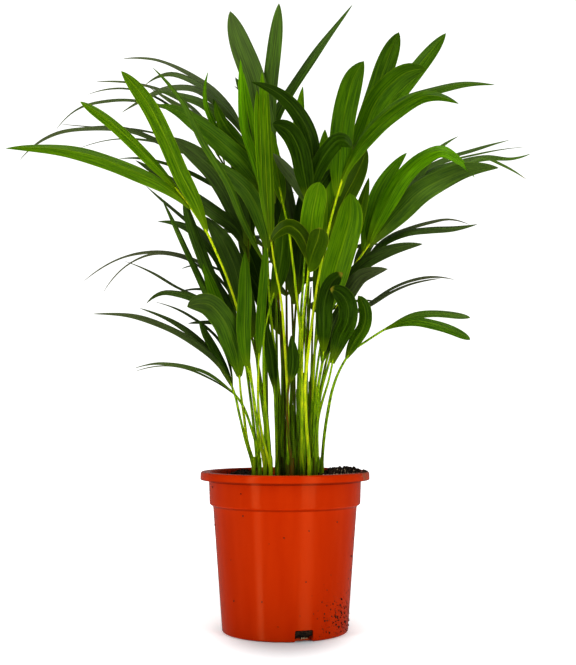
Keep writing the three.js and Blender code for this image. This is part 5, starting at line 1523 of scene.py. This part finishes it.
@dataclass
class NurseryPot:
    """The moulded pot: a round thin shell with a rolled rim, a shoulder and three drain notches."""

    height: float = 157.0
    rim_radius: float = 84.3
    rim_band: float = 8.0
    neck_radius: float = 76.0
    neck_foot: float = 125.5
    shoulder_radius: float = 71.5
    base_radius: float = 62.4
    wall: float = 1.4
    floor: float = 1.8
    foot_ring: float = 12.0
    recess: float = 2.2
    boss_radius: float = 18.0
    sides: int = 216
    crease: float = 28.0
    drain_width: float = 18.0
    drain_height: float = 10.8
    drain_depth: float = 16.0
    drain_corner: float = 1.6
    drain_azimuths: tuple[float, ...] = (-73.0, 47.0, 167.0)

    @property
    def inner_neck(self) -> float:
        """Returns the radius inside the neck."""
        return self.neck_radius - self.wall

    def _profile(self) -> list[Pair]:
        """Returns the wall's outline, from the middle of the underside to that of the floor."""
        rim, neck, shoulder = self.rim_radius, self.neck_radius, self.shoulder_radius
        base, boss, step = self.base_radius, self.boss_radius, self.neck_foot
        top, band = self.height, self.height - self.rim_band
        ring, inside, floor_top = base - self.foot_ring, self.inner_neck, self.recess + self.floor
        inner_base, inner_shoulder = base - self.wall, shoulder - self.wall
        return [
            # The underside, with its boss, its recess and the ring that it stands on.
            (0, 0), (boss - 0.4, 0), (boss, 0.2), (boss + 1.2, self.recess),
            (ring - 1.2, self.recess), (ring - 0.1, 0.2), (ring + 0.3, 0), (base - 1.8, 0),
            (base - 1.1, 0.15), (base - 0.5, 0.6), (base - 0.15, 1.2), (base, 2),
            # The wall and its shoulder.
            *self._straight((base, 2), (shoulder, step - 4), 12),
            (shoulder + 0.25, step - 3), (shoulder + 0.9, step - 2.2), (shoulder + 1.8, step - 1.6),
            (neck - 1.9, step - 1.05), (neck - 1.3, step - 0.6), (neck - 1.0, step),
            (neck - 0.9, step + 0.6),
            # The neck and the rolled rim.
            *self._straight((neck - 0.9, step + 0.6), (neck, band + 3.0), 4),
            (neck + 0.3, band + 3.2), (rim - 1.9, band + 3.2), (rim - 1.6, band + 2.9),
            (rim - 1.45, band + 0.3), (rim - 1.1, band), (rim - 0.5, band),
            (rim - 0.12, band + 0.35), (rim, band + 1.1), (rim - 0.05, band + 3.5),
            (rim - 0.2, top - 1.9), (rim - 0.45, top - 1.0), (rim - 0.95, top - 0.4),
            (rim - 1.6, top - 0.08), (rim - 2.4, top), (neck + 1.4, top),
            # The inside, down to the floor.
            (inside + 0.9, top - 0.15), (inside + 0.3, top - 0.7), (inside, top - 2),
            (inside - 0.9, step + 0.8), (inner_shoulder + 0.9, step - 2.4),
            (inner_shoulder, step - 4.2), (inner_base + 0.2, floor_top + 2),
            (inner_base - 1.6, floor_top), (0, floor_top),
        ]

    @staticmethod
    def _straight(start: Pair, end: Pair, steps: int) -> list[Pair]:
        """Returns places along a straight run, without its start."""
        return [
            (start[0] + (end[0] - start[0]) * i / steps, start[1] + (end[1] - start[1]) * i / steps)
            for i in range(1, steps + 1)
        ]

    def build(self, plastic: Material) -> None:
        """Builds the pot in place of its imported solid.

        Args:
            plastic: the material.
        """
        skin = Skin()
        lathe(skin, self._profile(), self.sides)
        pot = skin.piece("nursery_pot", plastic, self.crease)
        self._cut_drains(pot)
        smooth(pot.data, self.crease)
        dress(pot, "pot_plastic", "pot")

    def _cut_drains(self, pot: Object) -> None:
        """Cuts the three drain notches, with round corners, out of the foot of the wall."""
        cutters = bmesh.new()
        block = (self.drain_depth * MM, self.drain_width * MM, 2 * self.drain_height * MM, 1)
        for azimuth in self.drain_azimuths:
            turn = Matrix.Rotation(math.radians(azimuth), 4, "Z")
            shift = Matrix.Translation((self.base_radius * MM, 0, 0))
            shape = turn @ shift @ Matrix.Diagonal(block)
            made = bmesh.ops.create_cube(cutters, size=1.0, matrix=shape)
            back = turn.inverted()
            outward = [
                edge
                for edge in {e for v in made["verts"] for e in v.link_edges}
                if abs((back @ (edge.verts[0].co - edge.verts[1].co)).x) > block[0] * 0.9
            ]
            bmesh.ops.bevel(cutters, geom=outward, offset=self.drain_corner * MM, segments=3,
                            affect="EDGES", profile=0.5)
        mesh = bpy.data.meshes.new("drain_cutters")
        cutters.to_mesh(mesh)
        cutters.free()
        tool = linked("drain_cutters", mesh)
        cut = pot.modifiers.new("drains", "BOOLEAN")
        cut.object, cut.operation, cut.solver = tool, "DIFFERENCE", "EXACT"
        bpy.context.view_layer.update()
        shaped = pot.evaluated_get(bpy.context.evaluated_depsgraph_get())
        whole, pot.data = pot.data, bpy.data.meshes.new_from_object(shaped)
        pot.modifiers.clear()
        bpy.data.objects.remove(tool)
        for spent in (whole, mesh):
            bpy.data.meshes.remove(spent)


def lathe(skin: Skin, profile: list[Pair], sides: int) -> None:
    """Turns an outline that starts and ends on the axis into a closed round skin."""
    turns = np.linspace(0, math.tau, sides, endpoint=False)
    loops = []
    for radius, height in profile:
        n = sides if radius > 0 else 1
        circle = (radius * np.cos(turns[:n]), radius * np.sin(turns[:n]), np.full(n, height))
        start = skin.add(np.column_stack(circle))
        loops.append([start + k % n for k in range(sides + 1)])
    skin.join(loops)


@dataclass
class Compost:
    """The compost: a lumpy bed heaped at the right, strewn with crumbs, bark and grit.

    Each heap has its place, its height and how far it spreads to the side and to the back.
    """

    pot: NurseryPot
    level: float = COMPOST_LEVEL
    heaps: tuple[tuple[float, ...], ...] = (
        (57.0, 4.0, 12.0, 30.0, 27.0), (-40.0, 42.0, 8.0, 24.0, 18.0),
    )
    lump: float = 1.1
    roughness: float = 0.9
    gap: float = 0.4
    rings: int = 46
    sides: int = 150
    crumbs: int = 2600
    heaped_share: float = 0.4
    spilled: int = 230
    notch_shade_crumbs: int = 150
    grains: int = 90
    spilled_grains: int = 46

    def height(self, x: float, y: float) -> float:
        """Returns the height of the bed at a place."""
        heap = sum(
            rise * math.exp(-(((x - at_x) / spread_x) ** 2) - ((y - at_y) / spread_y) ** 2)
            for at_x, at_y, rise, spread_x, spread_y in self.heaps
        )
        wave = math.sin(x * 0.31 + 1.3 * math.sin(y * 0.23))
        return self.level + heap + self.lump * (wave * math.cos(y * 0.37 + math.sin(x * 0.19)))

    def build(self, peat: Material, grit: Material) -> None:
        """Builds the bed and what lies on it.

        Args:
            peat: the dark material of bed and crumbs.
            grit: the pale material of the grains.
        """
        dress(self._bed(peat), "compost", "compost")
        dress(self._crumbs(peat), "compost")
        dress(self._grains(grit), "compost")

    def _bed(self, peat: Material) -> Object:
        """Builds the bed as one closed body that fills the pot."""
        pot, gap = self.pot, self.gap
        floor_top = pot.recess + pot.floor
        edge = pot.inner_neck - 0.4 - gap
        inner_base, inner_shoulder = pot.base_radius - pot.wall, pot.shoulder_radius - pot.wall
        profile = [
            (0, floor_top + gap), (inner_base - 2.4, floor_top + gap),
            (inner_base - gap, floor_top + 3), (inner_shoulder - gap - 0.1, pot.neck_foot - 4.6),
            (inner_shoulder + 0.5 - gap, pot.neck_foot - 2.4),
            (pot.inner_neck - 1 - gap, pot.neck_foot + 0.8),
            *((edge * ring / self.rings, self.level) for ring in range(self.rings, -1, -1)),
        ]
        skin = Skin()
        lathe(skin, profile, self.sides)
        points = np.concatenate(skin.points)
        for place in points:
            if abs(place[2] - self.level) < 0.01:
                rough = noise.fractal(Vector(place * 0.14), 0.9, 2.2, 5)
                fade = min((edge - math.hypot(place[0], place[1])) / 4, 1)
                place[2] = self.height(place[0], place[1]) + self.roughness * rough * fade
        skin.points = [points]
        return skin.piece("compost_bed", peat, 180)

    def _crumbs(self, peat: Material) -> Object:
        """Strews crumbs over the bed, thicker on the heap, and over the rim and the notch."""
        dice = random.Random(4100)
        skin = Skin()
        reach = self.pot.inner_neck - 2.2
        for _ in range(self.crumbs):
            if dice.random() < self.heaped_share:
                x, y = dice.gauss(self.heaps[0][0], 15), dice.gauss(self.heaps[0][1], 22)
            else:
                away, turn = reach * math.sqrt(dice.random()), dice.uniform(0, math.tau)
                x, y = away * math.cos(turn), away * math.sin(turn)
            if math.hypot(x, y) <= reach:
                size = min(0.45 + dice.expovariate(1.6), 2.6)
                crumb(skin, np.array((x, y, self.height(x, y) + size * 0.35)), size, dice)
        self._spill(skin, self.spilled, (-30.0, 42.0), (73.0, 82.5), (0.3, 1.2), dice)
        # Painted shade: dark crumbs fill the front notch, whose inside lies in shadow.
        for _ in range(self.notch_shade_crumbs):
            place = (dice.uniform(47.5, 56.5), dice.uniform(-7.2, 7.2), dice.uniform(2.6, 4.6))
            crumb(skin, self._notch(*place), dice.uniform(0.9, 1.4), dice)
        return skin.piece("compost_crumbs", peat, CRUMB_CREASE)

    def _spill(
        self, skin: Skin, count: int, sweep: Pair, band: Pair, sizes: Pair, dice: random.Random
    ) -> None:
        """Leaves crumbs on top of the rim, where the pot was filled over it.

        Args:
            skin: the skin that gathers the crumbs.
            count: how many there are.
            sweep: between which bearings they lie, in degrees.
            band: between which distances from the pot's middle they lie.
            sizes: their least and largest size.
            dice: the source of chance.
        """
        for _ in range(count):
            turn = math.radians(dice.uniform(*sweep))
            away = dice.uniform(*band)
            size = sizes[0] + (sizes[1] - sizes[0]) * dice.random() ** 2
            rise = self.pot.height - 0.2 + size * 0.3
            crumb(skin, np.array((away * math.cos(turn), away * math.sin(turn), rise)), size, dice)

    def _notch(self, away: float, aside: float, rise: float) -> np.ndarray:
        """Finds a place in the front drain notch.

        Args:
            away: its distance from the pot's middle.
            aside: how far it lies to the side of the notch's middle.
            rise: its height.

        Returns:
            The place.
        """
        turn = math.radians(self.pot.drain_azimuths[0])
        x = away * math.cos(turn) - aside * math.sin(turn)
        return np.array((x, away * math.sin(turn) + aside * math.cos(turn), rise))

    def _grains(self, grit: Material) -> Object:
        """Strews the pale grit on the heap and the rim, and leaves grains in the front notch."""
        dice = random.Random(77)
        skin = Skin()
        for _ in range(self.grains):
            x, y = dice.gauss(self.heaps[0][0] + 4, 9), dice.gauss(-6, 9)
            if math.hypot(x, y) <= self.pot.inner_neck - 2.5:
                size = dice.uniform(0.4, 1.0)
                crumb(skin, np.array((x, y, self.height(x, y) + size * 0.6)), size, dice)
        self._spill(skin, self.spilled_grains, (-62.0, -28.0), (74.5, 78.0), (0.3, 0.9), dice)
        for aside, size in ((-1.0, 1.1), (1.5, 1.3), (3.5, 0.9), (4.5, 0.6)):
            crumb(skin, self._notch(57.5, aside, 2.6), size, dice)
        return skin.piece("compost_grit", grit, CRUMB_CREASE)


def _ball() -> tuple[list[Triple], list[tuple[int, ...]]]:
    """Returns the corners and faces of a coarse round ball of radius 1."""
    work = bmesh.new()
    bmesh.ops.create_icosphere(work, subdivisions=1, radius=1.0)
    corners = [tuple(v.co) for v in work.verts]
    faces = [tuple(v.index for v in f.verts) for f in work.faces]
    work.free()
    return corners, faces


CRUMB_CORNERS, CRUMB_FACES = _ball()
CRUMB_CREASE = 35.0


def crumb(skin: Skin, middle: np.ndarray, size: float, dice: random.Random) -> None:
    """Adds one crumb: a coarse ball squeezed and jogged at random.

    Args:
        skin: the skin that gathers the crumbs.
        middle: the place of its middle.
        size: about its radius.
        dice: the source of chance.
    """
    turn = Euler((dice.uniform(0, 6), dice.uniform(0, 6), dice.uniform(0, 6))).to_matrix()
    stretch = (dice.uniform(0.7, 1.5), dice.uniform(0.6, 1.1), dice.uniform(0.5, 0.9))
    corners = []
    for corner in CRUMB_CORNERS:
        bumpy = size * dice.uniform(0.8, 1.15)
        corners.append(np.array(turn @ Vector([c * k * bumpy for c, k in zip(corner, stretch)])))
    start = skin.add(middle + np.array(corners))
    for face in CRUMB_FACES:
        skin.face(*(start + i for i in face))


@dataclass
class ClingingSoil:
    """Dark crumbs that cling to the outside of the pot, mostly low on the right.

    The single ones have their place on the layout and their size. The others are strewn about a
    place, by so much across and up, and none lies beyond the limit at the right and at the foot.
    """

    pot: NurseryPot
    singles: tuple[Triple, ...] = (
        (-72, 142, 0.9), (-44, 135, 0.6), (-70, 104, 0.8), (24, 98, 0.5), (21, 47, 0.6),
        (-1, 91, 0.5), (-54, 69, 0.4), (-23, 27, 0.5), (52, 107, 0.5), (-42, 113, 0.6),
        (-16, 85, 0.35), (-51, 28, 0.6), (-7, 2, 0.5), (68, 91, 0.6), (66, 73, 0.7), (65, 59, 0.7),
        (37, 27, 0.6), (42, 39, 0.35), (33, 18, 0.4), (27, 33, 0.3), (15, 13, 0.3), (46, 54, 0.35),
    )
    enlarged: float = 1.6
    strewn: int = 620
    about: Pair = (64.5, 9.0)
    by: Pair = (12.0, 13.0)
    lowest: float = -8.0
    largest: float = 1.4

    def build(self, peat: Material) -> None:
        """Builds the crumbs as one piece.

        Args:
            peat: their material.
        """
        dice = random.Random(31)
        skin = Skin()
        for across, up, size in self.singles:
            self._cling(skin, across, up, self.enlarged * size, dice)
        for _ in range(self.strewn):
            across = self.about[0] - abs(dice.gauss(0, self.by[0]))
            up = max(self.about[1] - dice.gauss(0, self.by[1]), self.lowest)
            size = min(0.12 + dice.expovariate(4.2), self.largest)
            self._cling(skin, across, up, size, dice)
        dress(skin.piece("clinging_soil", peat, CRUMB_CREASE), "compost")

    def _cling(
        self, skin: Skin, across: float, up: float, size: float, dice: random.Random
    ) -> None:
        """Adds a crumb to the wall where it is seen at a place on the layout.

        Args:
            skin: the skin that gathers the crumbs.
            across: how far to the right it is seen.
            up: how high it is seen.
            size: its size. A crumb that would reach below the floor is left out.
            dice: the source of chance.
        """
        depth = -self.pot.base_radius
        for _ in range(8):
            point = VIEW.placed(np.array((across, up, depth)))
            radius = self._radius(point[2])
            depth = -math.sqrt(max(radius**2 - min(abs(point[0]), radius * 0.995) ** 2, 0))
        point = VIEW.placed(np.array((across, up, depth)))
        if point[2] >= 0.5 + 1.8 * size:
            away = math.hypot(point[0], point[1])
            point[:2] *= min(1.0, (self._radius(point[2]) + size * 0.2) / away)
            crumb(skin, point, size, dice)

    def _radius(self, height: float) -> float:
        """Returns the outer radius of the pot at a height."""
        pot = self.pot
        if height > pot.neck_foot:
            return pot.neck_radius - 0.6
        share = min(max((height - 2) / (pot.neck_foot - 6), 0), 1)
        return pot.base_radius + (pot.shoulder_radius - pot.base_radius) * share


# ---------- studio


@dataclass
class Studio:
    """A white floor, a white wall of light behind, two tall softboxes in front and one above."""

    key_power: float = 10.4
    fill_power: float = 8.2
    top_power: float = 9.0
    top_size: float = 1.2
    front_size: Pair = (0.42, 2.6)
    side_size: Pair = (0.22, 2.6)
    away: float = 1.15
    aim: float = 0.3
    floor_half: float = 30.0
    floor_level: float = -0.0003
    wall_edge: float = 0.1
    wall_full: float = 0.6
    dark_side: float = 0.08
    wall_level: float = 0.4
    wall_gloss: float = 0.5
    long_side: float = 36.0

    def build(self) -> None:
        """Sets the camera, the world, the floor, the lights and the deep shadows of the picture."""
        self._camera()
        self._world()
        self._floor()
        self._softbox("key_softbox", 35, self.front_size, self.key_power)
        self._softbox("fill_softbox", -43, self.side_size, self.fill_power)
        top = (self.top_size, self.top_size)
        self._light("overhead_softbox", (0, -0.15, 1.7), top, self.top_power)
        view = bpy.context.scene.view_settings
        view.view_transform = "Standard"
        view.look = "Medium High Contrast"

    def _camera(self) -> None:
        """Sets the camera where the photograph was taken from."""
        data = bpy.data.cameras.new("camera")
        data.lens = VIEW.focal / VIEW.frame_height * self.long_side
        data.sensor_width = self.long_side
        camera = linked("camera", data)
        camera.location = VIEW.eye() * MM
        camera.rotation_euler = (math.pi / 2 + VIEW.tilt, 0, 0)
        bpy.context.scene.camera = camera

    def _world(self) -> None:
        """Lights the plant by a white wall behind it and a dim room before it."""
        w = blank(bpy.data.worlds.new("backdrop"))
        place = node(w, "SeparateXYZ", (node(w, "TexCoord").outputs["Generated"],))
        wall = (self.wall_edge, self.wall_full, self.dark_side, self.wall_level)
        level = node(w, "MapRange", (place.outputs[1], *wall))
        rays = node(w, "LightPath").outputs
        gloss = node(w, "MapRange", (rays["Is Glossy Ray"], 0.0, 1.0, 1.0, self.wall_gloss))
        strength = node(w, "Math", (level, gloss), operation="MULTIPLY")
        lit = node(w, "Background", ("#ffffff", strength))
        shown = node(w, "Background", ("#ffffff", 1.0))
        sky = node(w, "MixShader", (rays["Is Camera Ray"], lit, shown))
        node(w, "OutputWorld", (sky,))
        bpy.context.scene.world = w

    def _floor(self) -> None:
        """Lays the white floor, a sheet that is too matt to show in the pot's gloss."""
        half, z = self.floor_half, self.floor_level
        mesh = bpy.data.meshes.new("floor")
        corners = [(-half, -half, z), (half, -half, z), (half, half, z), (-half, half, z)]
        mesh.from_pydata(corners, [], [(0, 1, 2, 3)])
        mesh.materials.append(FloorFinish().material())
        floor = linked("floor", mesh)
        floor.visible_glossy = False

    def _softbox(self, name: str, azimuth: float, size: Pair, power: float) -> None:
        """Stands a tall softbox before the plant, and turns it to it.

        Args:
            name: the light's name.
            azimuth: how far it stands to the right of the camera, in degrees.
            size: its width and height.
            power: its power in watts.
        """
        turn = math.radians(azimuth)
        place = (self.away * math.sin(turn), -self.away * math.cos(turn), self.aim)
        light = self._light(name, place, size, power)
        toward = Vector((0, 0, self.aim)) - light.location
        light.rotation_euler = toward.to_track_quat("-Z", "Y").to_euler()

    @staticmethod
    def _light(name: str, place: Triple, size: Pair, power: float) -> Object:
        """Puts up a soft light that shines down.

        Args:
            name: the light's name.
            place: where it hangs.
            size: its width and length.
            power: its power in watts.

        Returns:
            The light.
        """
        data = bpy.data.lights.new(name, "AREA")
        data.shape, data.size, data.size_y, data.energy = "RECTANGLE", *size, power
        light = linked(name, data)
        light.location = place
        return light


# ---------- the whole


LEAF_FINISHES = {
    YOUNG: LeafFinish("waxy_leaflet_young", "#3b6600", "#689200", "#a8c020", "#98c400"),
    GROWN: LeafFinish("waxy_leaflet_grown", "#284b00", "#4b7100", "#84a01c", "#74a400"),
    DEEP: LeafFinish("waxy_leaflet_deep", "#193000", "#345400", "#62801c", "#547c00", 0.24),
}

PEAT = CompostFinish("damp_peat_compost", (
    (0.0, "#080504"), (0.45, "#170f09"), (0.75, "#2c1e13"), (1.0, "#4c3825"),
))
GRIT = CompostFinish(
    "pale_grit", ((0.0, "#6b5540"), (0.5, "#9c8668"), (1.0, "#c9b899")), grain=0.6, bump=0.4
)


def main() -> None:
    """Builds the potted palm and its studio, piece by piece."""
    logging.basicConfig(level=logging.INFO, format="%(name)s: %(message)s")
    Studio().build()
    pot = NurseryPot()
    pot.build(PotFinish().material())
    peat = PEAT.material()
    Compost(pot).build(peat, GRIT.material())
    ClingingSoil(pot).build(peat)
    palms = [GrownPalm.grow(plan) for plan in (*PALMS, *(palm.palm() for palm in ARCHING_PALMS))]
    Clearing(palms).bend()
    leaf = {tone: finish.material() for tone, finish in LEAF_FINISHES.items()}
    stalk = StalkFinish().material()
    for palm in palms:
        DressedPalm(palm).build(leaf[palm.plan.tone], stalk)


if __name__ == "__main__":
    main()
